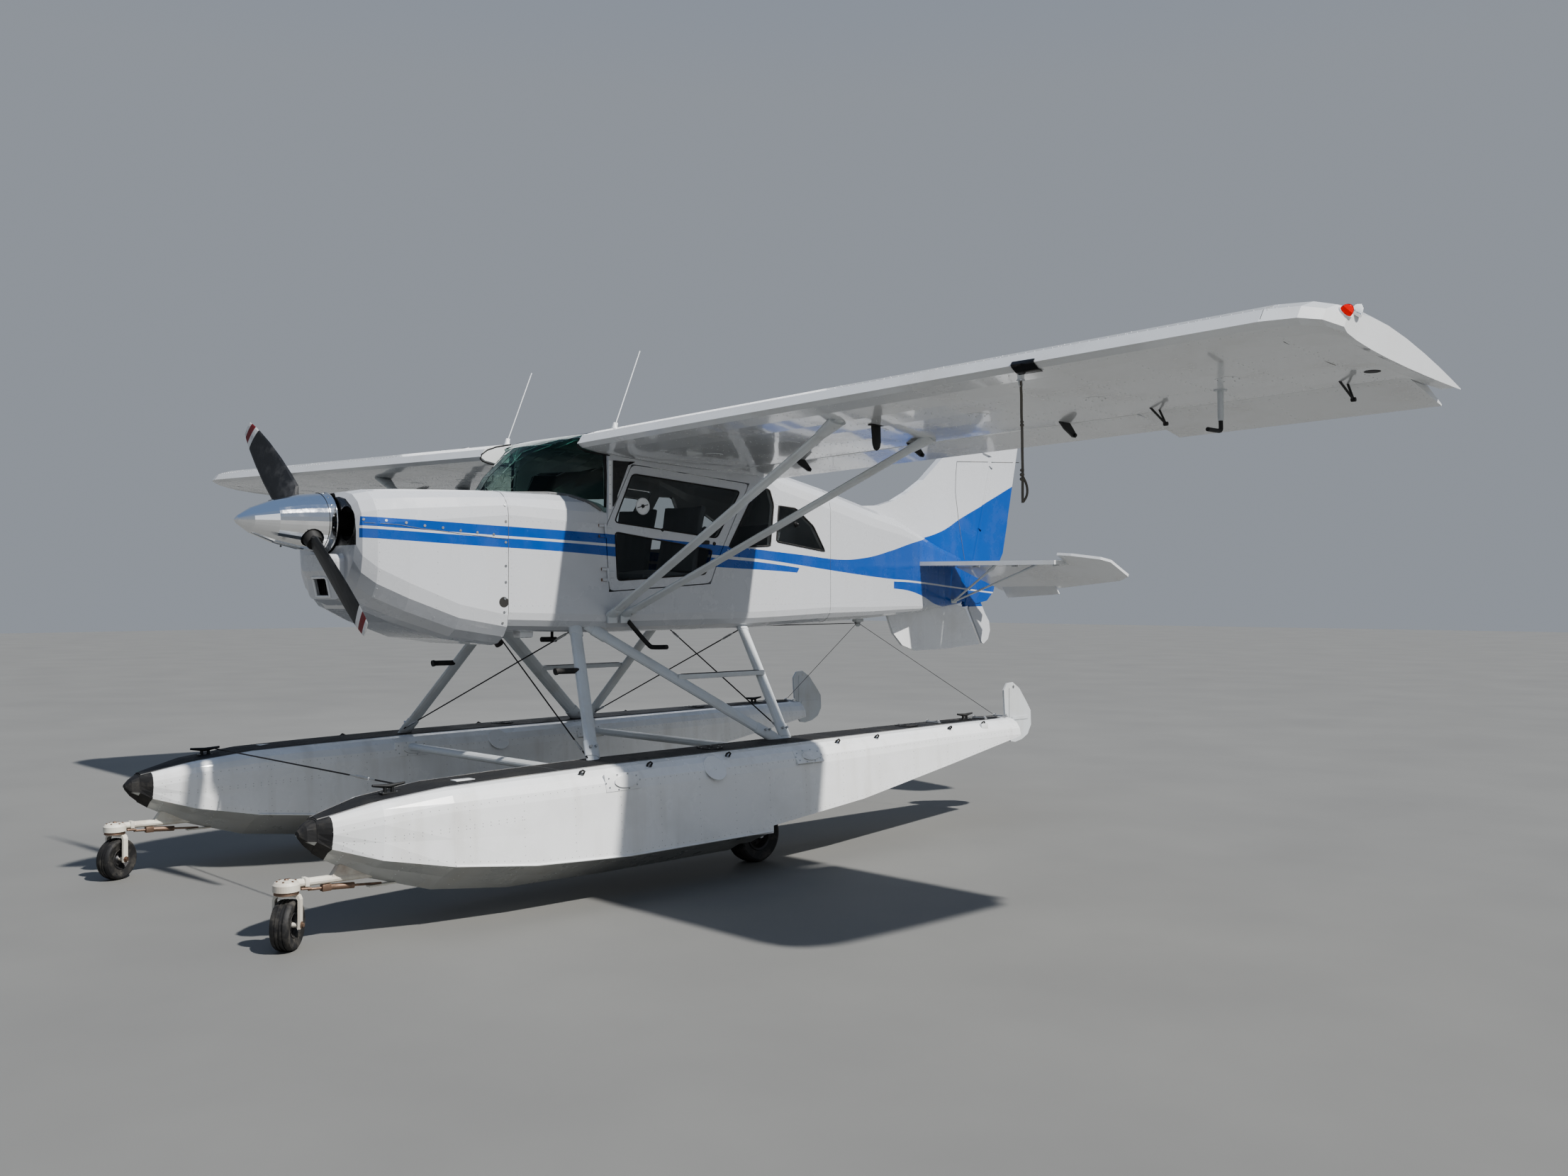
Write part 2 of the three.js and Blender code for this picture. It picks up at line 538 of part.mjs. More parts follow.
const elevatorOutline = [                      // x, and station aft of the hinge, before the droop
  [60, 0], [tail.hornX, 0], [tail.hornX, -170], [tail.hornX + 120, -150], [tail.tipX - 60, -70], [tail.tipX, -10],
  [tail.tipX, 270], [tail.tipX - 120, 350], [810, 495], [810, 440], [250, 455], [250, 535], [205, 540],
];
const elevatorRadius = 18;
const tabDroop = 24;                           // of the port tab, against the elevator
function elevator() {
  const halves = sides.map(({ sign }) => onSide(flatPlate(elevatorOutline, -11, 11), sign));
  const nose = new THREE.CylinderGeometry(elevatorRadius, elevatorRadius, 2 * tail.hornX, 24).rotateZ(Math.PI / 2);
  const tabs = sides.map(({ sign }) => {
    const plate = flatPlate([[256, 2], [804, -12], [804, 105], [256, 145]], -6, 6);
    return onSide(plate.rotateX(-turn(sign > 0 ? tabDroop : 0)).translate(0, 441, 0), sign);
  });
  return join(nose, ...halves, ...tabs).rotateX(-turn(tail.droop)).translate(0, tail.hingeY, tail.z);
}
add('elevator', elevator(), 'white');
const tubeHole = new THREE.CylinderGeometry(elevatorRadius + 2 * gap, elevatorRadius + 2 * gap, 400, 24)
  .rotateZ(Math.PI / 2).translate(0, tail.hingeY, tail.z);
const elevatorBay = box(-200, 200, stabEdge - gap, tail.hingeY, tail.z - stabHalf - gap, tail.z + stabHalf + gap);
add('tailcone', cut(tailcone, tailconeInside, stabSlot, tubeHole, elevatorBay), 'white');

const rudderOutline = [
  [hingeAt(1560), 1560], [hingeAt(2900), 2900], [hingeAt(2930) - 140, 2930], [6740, 3150], [7240, 3165], [7400, 3130],
  [7140, 2040], [7085, 1960], [6995, 1690], [6900, 1612],
];
const rudderNose = bar(vec(0, hingeAt(1575), 1575), vec(0, hingeAt(2890), 2890), 46, 46, vec(0, 1, 0), 16);
const lowerBlade = sidePlate([
  [6662, 1625], [6800, 1625], [6880, 1500], [6940, 1430], [6955, 1350], [6925, 1270], [6860, 1230], [6838, 1236],
  [6650, 1540]], -9, 9);
const rudderBlank = join(sidePlate(rudderOutline, -16, 16), rudderNose, lowerBlade);
add('rudder', cut(rudderBlank, ...rudderLugs.map(lugRoom)), 'white');

const ventralOutline = [
  [5548, 1500], [5620, 1350], [5740, 1245], [5905, 1196], [6300, 1200], [6800, 1228], [6590, 1545], [6450, 1590],
  [5900, 1530],
];
add('ventral_fin', trimmed(sidePlate(ventralOutline, -11, 11), [tailcone, 0, 0, 1]), 'white');

const stabFoot = vec(36, 6375, 1598);
const stabHeads = [{ x: 720, y: 6120 }, { x: 1030, y: 6300 }];
for (const { side, sign } of sides) {
  const struts = stabHeads.map(({ x, y }) => bar(stabFoot, vec(x, y, tail.z + 10), 16, 30));
  const fitted = trimmed(join(...struts), [stabilizer, 0, 0, 1], [tailcone, -1, 0, 0]);
  add(`tail_struts_${side}`, onSide(fitted, sign), 'grey');
}

// Floats
// columns: station, deck height, half width of the flat deck, half beam, drop of the rounded shoulder,
// chine half width, chine height, keel height
const hullRows = [
  [70, 600, 38, 60, 60, 62, 500, 440],
  [130, 614, 65, 105, 80, 90, 462, 400],
  [350, 664, 125, 187, 100, 175, 390, 285],
  [700, 702, 150, 240, 110, 245, 320, 172],
  [1150, 714, 150, 268, 120, 285, 268, 114],
  [1750, 725, 148, 280, 125, 298, 236, 100],
  [floats.stepY, 730, 145, 280, 125, 298, 234, 96],
];
const afterRows = [
  [floats.stepY - 40, 730, 145, 280, 125, 290, 270, 172],
  [floats.stepY, 730, 145, 280, 125, 296, 270, 172],
  [3700, 735, 140, 262, 125, 272, 340, 262],
  [4700, 738, 115, 205, 120, 208, 470, 425],
  [5600, 730, 40, 161, 120, 160, 598, 575],
];
const bumperRows = [
  [0, 548, 10, 22, 12, 20, 530, 520],
  [30, 575, 24, 42, 30, 46, 505, 480],
  [75, 600, 38, 60, 60, 62, 500, 440],
];
function hullRing([y, deck, flat, beam, drop, chineHalf, chine, keel]) {
  const shoulder = [0, 22.5, 45, 67.5, 90].map((angle) => [
    flat + (beam - flat) * Math.sin(turn(angle)), deck - drop * (1 - Math.cos(turn(angle)))]);
  const right = [
    ...shoulder, [(beam + chineHalf) / 2, (deck - drop + chine) / 2], [chineHalf, chine],
    [chineHalf * 0.5, (chine + keel) / 2 + 8],
  ];
  const left = right.slice().reverse().map(([x, z]) => [-x, z]);
  return [[0, deck + 5], ...right, [0, keel], ...left].map(([x, z]) => vec(x, y, z));
}
const [forebody, afterbody, bumper] = [hullRows, afterRows, bumperRows].map((table) => skin(table.map(hullRing)));
const wellHalf = 98;
const wheelWell = box(-wellHalf, wellHalf, mainWheel.y - mainWheel.radius - 40, mainWheel.y + mainWheel.radius + 40, 0, 430);
const rudderPivot = { y: 5690, z: 590, radius: 6 };   // of the water rudder, on two cheeks behind the stern
const cheeks = [-1, 1].map((k) => {
  const [x0, x1] = k > 0 ? [7 + gap, 16] : [-16, -7 - gap];
  return sidePlate([[5540, 715], [5540, 600], [5600, 580], [5690, 572], [5708, 590], [5690, 608], [5625, 640]], x0, x1);
});
const pivotPin = crossPin(rudderPivot.radius, 30, rudderPivot.y, rudderPivot.z);
const hull = join(cut(join(forebody, afterbody, bumper), wheelWell), ...cheeks, pivotPin);

function wheel(radius, width, rim) {           // tyre and rim in one, axle along X
  const h = width / 2;
  const profile = [
    [0, -h * 0.55], [rim * 0.9, -h * 0.55], [rim, -h * 0.8], [radius * 0.82, -h], [radius * 0.95, -h * 0.78],
    [radius, -h * 0.35], [radius, h * 0.35], [radius * 0.95, h * 0.78], [radius * 0.82, h], [rim, h * 0.8],
    [rim * 0.9, h * 0.55], [0, h * 0.55],
  ];
  const lathe = new THREE.LatheGeometry(profile.map(([r, x]) => new THREE.Vector2(r, x)), 40);
  return outward(bare(lathe.rotateZ(Math.PI / 2)));
}

// Cap of the swivel, as [radius, height], and the fork's arch round the tyre, as [x, height]
const capProfile = [[0, 281.5], [62, 281.5], [62, 312], [52, 325], [30, 331], [0, 332.5]];
const halfArch = [[66, 102], [66, 240], [58, 258], [40, 266]];
const halfInside = [[38, 252], [48, 247], [54, 236], [54, 102]];
const flipped = (points) => points.slice().reverse().map(([x, z]) => [-x, z]);
const forkArch = [...halfArch, ...flipped(halfArch), ...flipped(halfInside), ...halfInside];

for (const { side, sign } of sides) {
  const float = new THREE.Group();
  float.position.x = sign * floats.x;
  aircraft.add(float);
  add(`float_${side}`, hull.clone(), 'white', float);

  // Main wheel on the stub axle of a leg on its inner side, in the well behind the step.
  const legRoom = [mainWheel.y - 32, mainWheel.y + 32];
  const leg = join(
    new THREE.CylinderGeometry(16, 16, 142, 20).rotateZ(Math.PI / 2).translate(-17, mainWheel.y, mainWheel.radius),
    box(-92, -76, ...legRoom, mainWheel.radius - 32, 430 - gap),
    box(-92, -20, ...legRoom, 396, 430 - gap),
  );
  add(`main_gear_leg_${side}`, onSide(leg, sign), 'grey', float);
  const tyre = cut(wheel(mainWheel.radius, mainWheel.width, 88), crossPin(16 + gap, 300, 0, 0));
  add(`main_wheel_${side}`, tyre.translate(0, mainWheel.y, mainWheel.radius), 'rubber', float);

  // Nose gear: arm from the keel to the swivel head with its domed cap, fork and wheel, turned as parked.
  const arm = join(
    new THREE.LatheGeometry(capProfile.map(([r, z]) => new THREE.Vector2(r, z)), 32)
      .rotateX(Math.PI / 2).translate(0, noseWheel.swivelY, 0),
    bar(vec(0, noseWheel.swivelY, 310), vec(0, 430, 300), 44, 40, vec(0, 0, 1)),
    sidePlate([[165, 318], [205, 372], [360, 330], [360, 296]], -18, 18),
  );
  add(`nose_gear_arm_${side}`, trimmed(arm, [hull, 0, 0, 1], [hull, 0, 1, 0]), 'cream', float);

  const turned = turn(noseWheel.turned[side]);
  const atSwivel = (geometry) => geometry.rotateZ(turned).translate(0, noseWheel.swivelY, 0);
  const crown = new THREE.CylinderGeometry(52, 52, 19.2, 32).rotateX(Math.PI / 2).translate(0, 0, 271.6);
  const arch = new THREE.ExtrudeGeometry(new THREE.Shape(forkArch.map(([x, z]) => new THREE.Vector2(x, z))), {
    depth: 34, bevelEnabled: false }).rotateX(Math.PI / 2).translate(0, noseWheel.trail + 17, 0);
  const pin = crossPin(12, 120, noseWheel.trail, noseWheel.radius);
  add(`nose_fork_${side}`, atSwivel(join(crown, arch, pin)), 'cream', float);
  const small = cut(wheel(noseWheel.radius, noseWheel.width, 50), crossPin(12 + gap, 300, 0, 0));
  add(`nose_wheel_${side}`, atSwivel(small.translate(0, noseWheel.trail, noseWheel.radius)), 'rubber', float);

  // Water rudder, swung up behind the stern.
  const leaf = sidePlate([
    [5622, 690], [5604, 860], [5600, 935], [5640, 985], [5715, 990], [5800, 940], [5900, 825], [5950, 760],
    [5955, 650], [5910, 580], [5835, 545], [5745, 530], [5690, 538], [5640, 590]], -7, 7);
  const bored = cut(leaf, crossPin(rudderPivot.radius + gap, 60, rudderPivot.y, rudderPivot.z));
  add(`water_rudder_${side}`, bored, 'white', float);
}

// Float struts and spreader bars
const floatStruts = [                          // head on the fuselage, foot sunk in the deck
  { name: 'front', head: vec(470, 2075, 1500), foot: vec(1082, 1762, 700) },
  { name: 'rear', head: vec(420, 3500, 1500), foot: vec(1096, 3304, 700) },
  { name: 'diagonal', head: vec(480, 2150, 1480), foot: vec(1089, 3282, 700) },
];
const strutBlank = ({ head, foot }) => bar(head, foot, 40, 84);
const portHull = moved(hull, floats.x, 0, 0);
for (const { side, sign } of sides) {
  for (const strut of floatStruts) {
    const neighbours = [[portHull, 0, 0, -1], [cabinOuter, 0, 0, 1]];
    if (strut.name === 'diagonal') neighbours.push([strutBlank(floatStruts[1]), 0, 1, 0]);
    add(`float_strut_${strut.name}_${side}`, onSide(trimmed(strutBlank(strut), ...neighbours), sign), 'grey');
  }
}
for (const [name, y] of [['front', 1730], ['rear', 3230]]) {
  const tube = bar(vec(-floats.x, y, 655), vec(floats.x, y, 655), 76, 50, vec(0, 0, 1), 16);
  const hulls = sides.map(({ sign }) => [moved(hull, sign * floats.x, 0, 0), sign, 0, 0]);
  add(`spreader_bar_${name}`, trimmed(tube, ...hulls), 'grey');
}

// Tie-down ropes and whip antennas
const ropeTop = { x: 3741, y: 2118, z: 2611 };
const ropeRoute = [[0, 0, 0], [0, 0, -12], [2, 4, -60], [-3, 8, -140], [4, 6, -230], [0, 10, -330], [3, 12, -420], [-2, 14, -500],
  [0, 14, -540]];
const antenna = { x: 594, footY: 2290, footZ: 2704, tipY: 2490, tipZ: 3200 };
for (const { side, sign } of sides) {
  const points = ropeRoute.map(([x, y, z]) => vec(sign * (ropeTop.x + x), ropeTop.y + y, ropeTop.z - gap + z));
  const circle = new THREE.Shape(Array.from({ length: 10 }, (_, k) => (
    new THREE.Vector2(7 * Math.cos((k / 5) * Math.PI), 7 * Math.sin((k / 5) * Math.PI)))));
  const route = new THREE.CatmullRomCurve3(points);
  const rope = new THREE.ExtrudeGeometry(circle, { steps: 20, extrudePath: route, bevelEnabled: false });
  add(`tie_rope_${side}`, outward(bare(rope)), 'rope');

  const foot = vec(antenna.x, antenna.footY, antenna.footZ);
  const whip = join(
    bar(foot, vec(antenna.x, antenna.tipY, antenna.tipZ), 7),
    bar(vec(antenna.x, antenna.footY, antenna.footZ - 30), foot.clone().add(vec(0, 10, 26)), 26),
  );
  add(`whip_antenna_${side}`, onSide(trimmed(whip, [wingBlank, 0, 0, -1]), sign), 'white');
}

export default aircraft;
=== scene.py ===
import math

import bmesh
import bpy
from mathutils import Matrix, Vector
from mathutils.bvhtree import BVHTree


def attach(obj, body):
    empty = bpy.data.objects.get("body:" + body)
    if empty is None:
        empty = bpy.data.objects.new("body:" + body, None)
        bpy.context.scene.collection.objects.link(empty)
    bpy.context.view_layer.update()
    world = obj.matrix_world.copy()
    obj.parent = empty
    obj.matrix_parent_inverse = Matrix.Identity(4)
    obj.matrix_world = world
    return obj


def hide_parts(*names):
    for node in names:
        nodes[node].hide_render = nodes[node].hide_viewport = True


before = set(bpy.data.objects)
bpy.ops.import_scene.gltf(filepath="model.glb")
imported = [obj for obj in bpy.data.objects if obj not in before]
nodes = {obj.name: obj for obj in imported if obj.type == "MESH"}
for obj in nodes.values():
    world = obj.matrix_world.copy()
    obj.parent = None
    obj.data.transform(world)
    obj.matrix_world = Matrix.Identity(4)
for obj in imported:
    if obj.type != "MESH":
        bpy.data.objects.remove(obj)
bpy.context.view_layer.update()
scene = bpy.context.scene
bowStation = 3.615  # stations are measured aft from the bow tips of the floats
sides = [("port", 1), ("starboard", -1)]
skyward, groundward = Vector((0, 0, 1)), Vector((0, 0, -1))


def at(x, station, z):
    return Vector((x, station - bowStation, z))


# Camera and light
cameraSetup = {
    "place": (7.233, -2.855, 1.659), "yaw": 45.06, "pitch": 0.319, "roll": -0.062, "lens": 30.924,
    "sensor": 36, "clipEnd": 200, "look": "AgX - Medium High Contrast", "exposure": 0.1,
}


def makeCamera(c):
    yaw, pitch, roll = (math.radians(c[k]) for k in ("yaw", "pitch", "roll"))
    ahead = Vector((-math.sin(yaw) * math.cos(pitch), math.cos(yaw) * math.cos(pitch), math.sin(pitch)))
    right = ahead.cross(skyward).normalized()
    up = right.cross(ahead)
    across = right * math.cos(roll) + up * math.sin(roll)
    above = up * math.cos(roll) - right * math.sin(roll)
    data = bpy.data.cameras.new("photoCamera")
    data.sensor_fit = "HORIZONTAL"
    data.sensor_width = c["sensor"]
    data.lens = c["lens"]
    data.clip_end = c["clipEnd"]
    cam = bpy.data.objects.new("photoCamera", data)
    turned = Matrix((across, above, -ahead)).transposed().to_4x4()
    cam.matrix_world = Matrix.Translation(at(*c["place"])) @ turned
    scene.collection.objects.link(cam)
    scene.camera = cam
    scene.view_settings.view_transform = "AgX"
    scene.view_settings.look = c["look"]
    scene.view_settings.exposure = c["exposure"]


lightSetup = {
    "sky": (0.30, 0.42, 0.66, 1), "horizon": (0.50, 0.54, 0.60, 1), "blend": (0.35, 0.8),
    "worldStrength": 0.50,
    "sun": 4.6, "sunSoft": 1.5, "sunFrom": (0.85, 0.16, 1.0), "sunColour": (1, 0.97, 0.92),
    "areas": [("fill", 50, (9, -7, 5)), ("rim", 90, (-8, 5, 6))], "areaSize": 6,
}


def hangLamp(data, place, aimFrom):  # a lamp that shines along the line from aimFrom to the middle
    lamp = bpy.data.objects.new(data.name, data)
    lamp.location = place
    lamp.rotation_euler = Vector(aimFrom).to_track_quat("Z", "Y").to_euler()
    scene.collection.objects.link(lamp)


def makeLights(c):
    world = bpy.data.worlds.new("studio")
    scene.world = world
    world.use_nodes = True
    tree = world.node_tree
    back = tree.nodes["Background"]
    back.inputs["Strength"].default_value = c["worldStrength"]
    ramp = tree.nodes.new("ShaderNodeValToRGB")
    coords = tree.nodes.new("ShaderNodeTexCoord")
    split = tree.nodes.new("ShaderNodeSeparateXYZ")
    tree.links.new(coords.outputs["Generated"], split.inputs[0])
    tree.links.new(split.outputs["Z"], ramp.inputs[0])
    for stop, place, colour in zip(ramp.color_ramp.elements, c["blend"], (c["horizon"], c["sky"])):
        stop.position = place
        stop.color = colour
    tree.links.new(ramp.outputs[0], back.inputs["Color"])
    sun = bpy.data.lights.new("sun", "SUN")
    sun.energy = c["sun"]
    sun.angle = math.radians(c["sunSoft"])
    sun.color = c["sunColour"]
    hangLamp(sun, (0, 0, 0), c["sunFrom"])
    for name, power, place in c["areas"]:
        area = bpy.data.lights.new(name, "AREA")
        area.energy = power
        area.size = c["areaSize"]
        hangLamp(area, place, place)


makeCamera(cameraSetup)
makeLights(lightSetup)
print("camera and lights placed")


# Node helpers and the effects that several materials share
def addNode(tree, kind, sockets=None, **settings):
    made = tree.nodes.new(kind)
    for name, value in settings.items():
        setattr(made, name, value)
    for name, value in (sockets or {}).items():
        if isinstance(value, bpy.types.NodeSocket):
            tree.links.new(value, made.inputs[name])
        else:
            made.inputs[name].default_value = value
    return made


def maths(tree, operation, a, b=0.0, clamp=False):
    return addNode(tree, "ShaderNodeMath", {0: a, 1: b}, operation=operation, use_clamp=clamp).outputs[0]


def times(tree, a, b, clamp=False):
    return maths(tree, "MULTIPLY", a, b, clamp)


def more(tree, a, b):
    return maths(tree, "GREATER_THAN", a, b)


def less(tree, a, b):
    return maths(tree, "LESS_THAN", a, b)


def mixColour(tree, share, a, b):
    return addNode(tree, "ShaderNodeMix", {0: share, 6: a, 7: b}, data_type="RGBA").outputs[2]


def placeOf(tree):  # x, y and z of the shaded point
    coords = addNode(tree, "ShaderNodeTexCoord").outputs["Object"]
    return addNode(tree, "ShaderNodeSeparateXYZ", {0: coords}).outputs


def newGroup(name, inputs, outputs):
    tree = bpy.data.node_groups.new(name, "ShaderNodeTree")
    for label, value in inputs:
        socket = tree.interface.new_socket(label, in_out="INPUT", socket_type="NodeSocketFloat")
        socket.default_value = value
    for label in outputs:
        tree.interface.new_socket(label, in_out="OUTPUT", socket_type="NodeSocketFloat")
    return tree, tree.nodes.new("NodeGroupInput"), tree.nodes.new("NodeGroupOutput")


def placeGroup(tree, group, **values):
    made = tree.nodes.new("ShaderNodeGroup")
    made.node_tree = group
    for name, value in values.items():
        made.inputs[name].default_value = value
    return made


weatheringSetup = {
    "scales": [("dirtScale", 3.0), ("streakScale", 7.0), ("grain", 220.0)], "dirtFrom": 0.47, "dirtGain": 4.0,
    "streakFrom": 0.52, "streakGain": 6.0, "streakLength": (1, 1, 0.09), "fineShare": 0.15, "waveScale": 5.0,
}


def makeWeathering(c):  # soft dirt, run marks down the sides and a fine height for the bump
    tree, given, out = newGroup("weathering", c["scales"], ("dirt", "streaks", "height"))
    coords = addNode(tree, "ShaderNodeTexCoord").outputs["Object"]

    def noise(vector, scale, **finer):
        return addNode(tree, "ShaderNodeTexNoise", {"Vector": vector, "Scale": scale, **finer}).outputs[0]

    def patches(value, start, gain):
        return times(tree, maths(tree, "SUBTRACT", value, start), gain, True)

    cloud = noise(coords, given.outputs["dirtScale"], Detail=6, Roughness=0.62)
    tree.links.new(patches(cloud, c["dirtFrom"], c["dirtGain"]), out.inputs["dirt"])
    stretch = addNode(tree, "ShaderNodeMapping", {"Vector": coords, "Scale": c["streakLength"]})
    runs = noise(stretch.outputs[0], given.outputs["streakScale"], Detail=4)
    tree.links.new(patches(runs, c["streakFrom"], c["streakGain"]), out.inputs["streaks"])
    fine = times(tree, noise(coords, given.outputs["grain"], Detail=2), c["fineShare"])
    wide = noise(coords, c["waveScale"], Detail=1)
    tree.links.new(maths(tree, "ADD", fine, wide), out.inputs["height"])
    return tree


weathering = makeWeathering(weatheringSetup)

# Edges of the two blue stripes and of the sweep up the tail: station, height. The lower stripe is broken from
# a slanting end (gapFrom at gapHeight) to gapTo; both keep to the sides up to deckTo and start at the face.
liverySetup = {
    "first": 0.6, "last": 7.6, "low": 1.45, "high": 2.85, "gapFrom": 4.02, "gapHeight": 1.84, "gapLean": 0.78,
    "gapTo": 5.339, "deckHalf": 0.36, "deckTo": 4.8, "face": 0.66,
    "upperTop": [(0.6, 2.102), (1.24, 2.074), (2.32, 2.04), (3.28, 1.992), (4.06, 1.95), (4.55, 1.926),
                 (4.87, 1.945),
                 (5.29, 2.012), (5.6, 2.075), (6.15, 2.18), (6.53, 2.338), (6.93, 2.5), (7.24, 2.63),
                 (7.6, 2.78)],
    "upperBottom": [(0.6, 2.053), (1.24, 2.02), (2.32, 1.981), (3.28, 1.925), (3.61, 1.909), (4.55, 1.835),
                    (5.29, 1.79), (5.61, 1.781), (6.36, 1.736), (6.97, 1.69), (7.6, 1.645)],
    "lowerTop": [(0.6, 2.037), (1.24, 2.006), (2.32, 1.964), (3.28, 1.905), (3.61, 1.888), (4.55, 1.815),
                 (5.29, 1.772), (5.61, 1.765), (6.36, 1.723), (6.97, 1.676), (7.6, 1.63)],
    "lowerBottom": [(0.6, 1.986), (1.24, 1.952), (2.04, 1.921), (2.33, 1.904), (3.2, 1.85), (3.57, 1.838),
                    (4.03, 1.82), (5.339, 1.714), (5.58, 1.698), (5.83, 1.655), (6.12, 1.575), (6.4, 1.556),
                    (6.62, 1.56), (7.6, 1.56)],
}


def makeLivery(c):
    tree, _, out = newGroup("livery", [], ["blue"])
    spot = placeOf(tree)
    length, height = c["last"] - c["first"], c["high"] - c["low"]
    station = maths(tree, "ADD", spot["Y"], bowStation)
    along = maths(tree, "DIVIDE", maths(tree, "SUBTRACT", station, c["first"]), length)

    def edge(name):  # height of an edge at this station
        curve = addNode(tree, "ShaderNodeFloatCurve", {"Value": along})
        line = curve.mapping.curves[0]
        stops = [((y - c["first"]) / length, (z - c["low"]) / height) for y, z in c[name]]
        line.points[0].location, line.points[-1].location = stops[0], stops[-1]
        for stop in stops[1:-1]:
            line.points.new(*stop)
        curve.mapping.update()
        return maths(tree, "ADD", times(tree, curve.outputs[0], height), c["low"])

    def stripe(name):
        return times(tree, more(tree, spot["Z"], edge(f"{name}Bottom")),
                     less(tree, spot["Z"], edge(f"{name}Top")))

    gapStart = maths(tree, "ADD", c["gapFrom"] - c["gapHeight"] * c["gapLean"],
                     times(tree, spot["Z"], c["gapLean"]))
    outsideGap = maths(tree, "MAXIMUM", less(tree, station, gapStart), more(tree, station, c["gapTo"]))
    lower = times(tree, stripe("lower"), outsideGap)
    offDeck = maths(tree, "MAXIMUM", more(tree, maths(tree, "ABSOLUTE", spot["X"]), c["deckHalf"]),
                    more(tree, station, c["deckTo"]))
    blue = times(tree, maths(tree, "MAXIMUM", stripe("upper"), lower), offDeck)
    tree.links.new(times(tree, blue, more(tree, station, c["face"])), out.inputs["blue"])
    return tree


liveryMask = makeLivery(liverySetup)


# Materials. Each coat is a colour under dirt and streaks, with a bump; a look adds a pattern of its own, and
# some looks add painted shade.
def startMaterial(name, **sockets):
    made = bpy.data.materials.new(name)
    made.use_nodes = True
    tree = made.node_tree
    shader = tree.nodes["Principled BSDF"]
    for socket, value in sockets.items():
        shader.inputs[socket.replace("_", " ")].default_value = value
    return made, tree, shader


usualCoat = {"dirtColour": (0.42, 0.39, 0.33, 1), "dirt": 0.16, "streaks": 0.0, "rough": 0.22, "dull": 0.22,
             "wave": 0.10, "deep": 0.004, "look": None, "scales": {}}


def coat(name, colour, c, **sockets):
    c = {**usualCoat, **c}
    made, tree, shader = startMaterial(name, **sockets)
    wear = placeGroup(tree, weathering, **c["scales"]).outputs
    base, height = c["look"](tree, colour) if c["look"] else (colour, None)
    dirty = mixColour(tree, times(tree, wear["dirt"], c["dirt"]), base, c["dirtColour"])
    streakColour = c.get("streakColour", c["dirtColour"])
    dirty = mixColour(tree, times(tree, wear["streaks"], c["streaks"]), dirty, streakColour)
    tree.links.new(dirty, shader.inputs["Base Color"])
    rough = maths(tree, "ADD", c["rough"], times(tree, wear["dirt"], c["dull"]))
    tree.links.new(rough, shader.inputs["Roughness"])
    height = wear["height"] if height is None else height
    bump = addNode(tree, "ShaderNodeBump", {"Strength": c["wave"], "Distance": c["deep"], "Height": height})
    tree.links.new(bump.outputs[0], shader.inputs["Normal"])
    return made


# shadedWhite is the white of the fuselage and cowl, darkened with painted shade and a painted reflection of
# the dark ground; the other white parts keep the lit white
white, shadedWhite, blue = (0.80, 0.815, 0.83, 1), (0.57, 0.585, 0.61, 1), (0.003, 0.080, 0.36, 1)


def striped(tree, colour):
    return mixColour(tree, placeGroup(tree, liveryMask).outputs["blue"], colour, blue), None


# The dark colour here is painted shade in the mouths and bores of the cowl's inlets
inletSetup = {"x": 0.235, "z": 2.062, "bore": 0.0967, "boreTo": 0.92, "lipTo": 0.7035, "lipFrom": 1.94,
              "dark": (0.012, 0.012, 0.013, 1)}


def stripedWithInletShade(tree, colour):  # painted shade: the cowl is painted dark round the inlets and inside their bores
    c, spot = inletSetup, placeOf(tree)
    lip = times(tree, less(tree, spot["Y"], c["lipTo"] - bowStation), more(tree, spot["Z"], c["lipFrom"]))
    x = maths(tree, "SUBTRACT", maths(tree, "ABSOLUTE", spot["X"]), c["x"])
    z = maths(tree, "SUBTRACT", spot["Z"], c["z"])
    away = maths(tree, "ADD", times(tree, x, x), times(tree, z, z))
    bore = times(tree, less(tree, away, c["bore"] ** 2), less(tree, spot["Y"], c["boreTo"] - bowStation))
    return mixColour(tree, maths(tree, "MAXIMUM", lip, bore), striped(tree, colour)[0], c["dark"]), None


# Painted shade on the floats: the faces that look down get a grey
bottomShadeSetup = {"facing": -0.45, "grey": (0.44, 0.45, 0.44, 1)}


def greyBelow(tree, colour):  # painted shade: the faces of a float that look down are painted grey
    normal = addNode(tree, "ShaderNodeNewGeometry").outputs["Normal"]
    facing = addNode(tree, "ShaderNodeSeparateXYZ", {0: normal}).outputs["Z"]
    return mixColour(tree, less(tree, facing, bottomShadeSetup["facing"]), colour, bottomShadeSetup["grey"]), None


bladeSetup = {"hub": 2.072, "tipFrom": 0.82, "redFrom": 0.862, "redTo": 0.912, "pale": (0.74, 0.74, 0.73, 1),
              "red": (0.22, 0.015, 0.02, 1)}


def tipped(tree, colour):  # white, red and white tips
    c, spot = bladeSetup, placeOf(tree)
    up = maths(tree, "SUBTRACT", spot["Z"], c["hub"])
    reach = maths(tree, "SQRT", maths(tree, "ADD", times(tree, spot["X"], spot["X"]), times(tree, up, up)))
    tip = mixColour(tree, more(tree, reach, c["tipFrom"]), colour, c["pale"])
    inRed = times(tree, more(tree, reach, c["redFrom"]), less(tree, reach, c["redTo"]))
    return mixColour(tree, inRed, tip, c["red"]), None


def gritty(tree, colour):
    coords = addNode(tree, "ShaderNodeTexCoord").outputs["Object"]
    grit = addNode(tree, "ShaderNodeTexVoronoi", {"Vector": coords, "Scale": 420.0})
    return colour, grit.outputs["Distance"]


# A darker tone of a colour: the painted shade between a cloth's threads, and also the cloth's dirt colour
def shadeAndDirtTone(colour):
    return tuple(v * 0.55 for v in colour[:3]) + (1,)


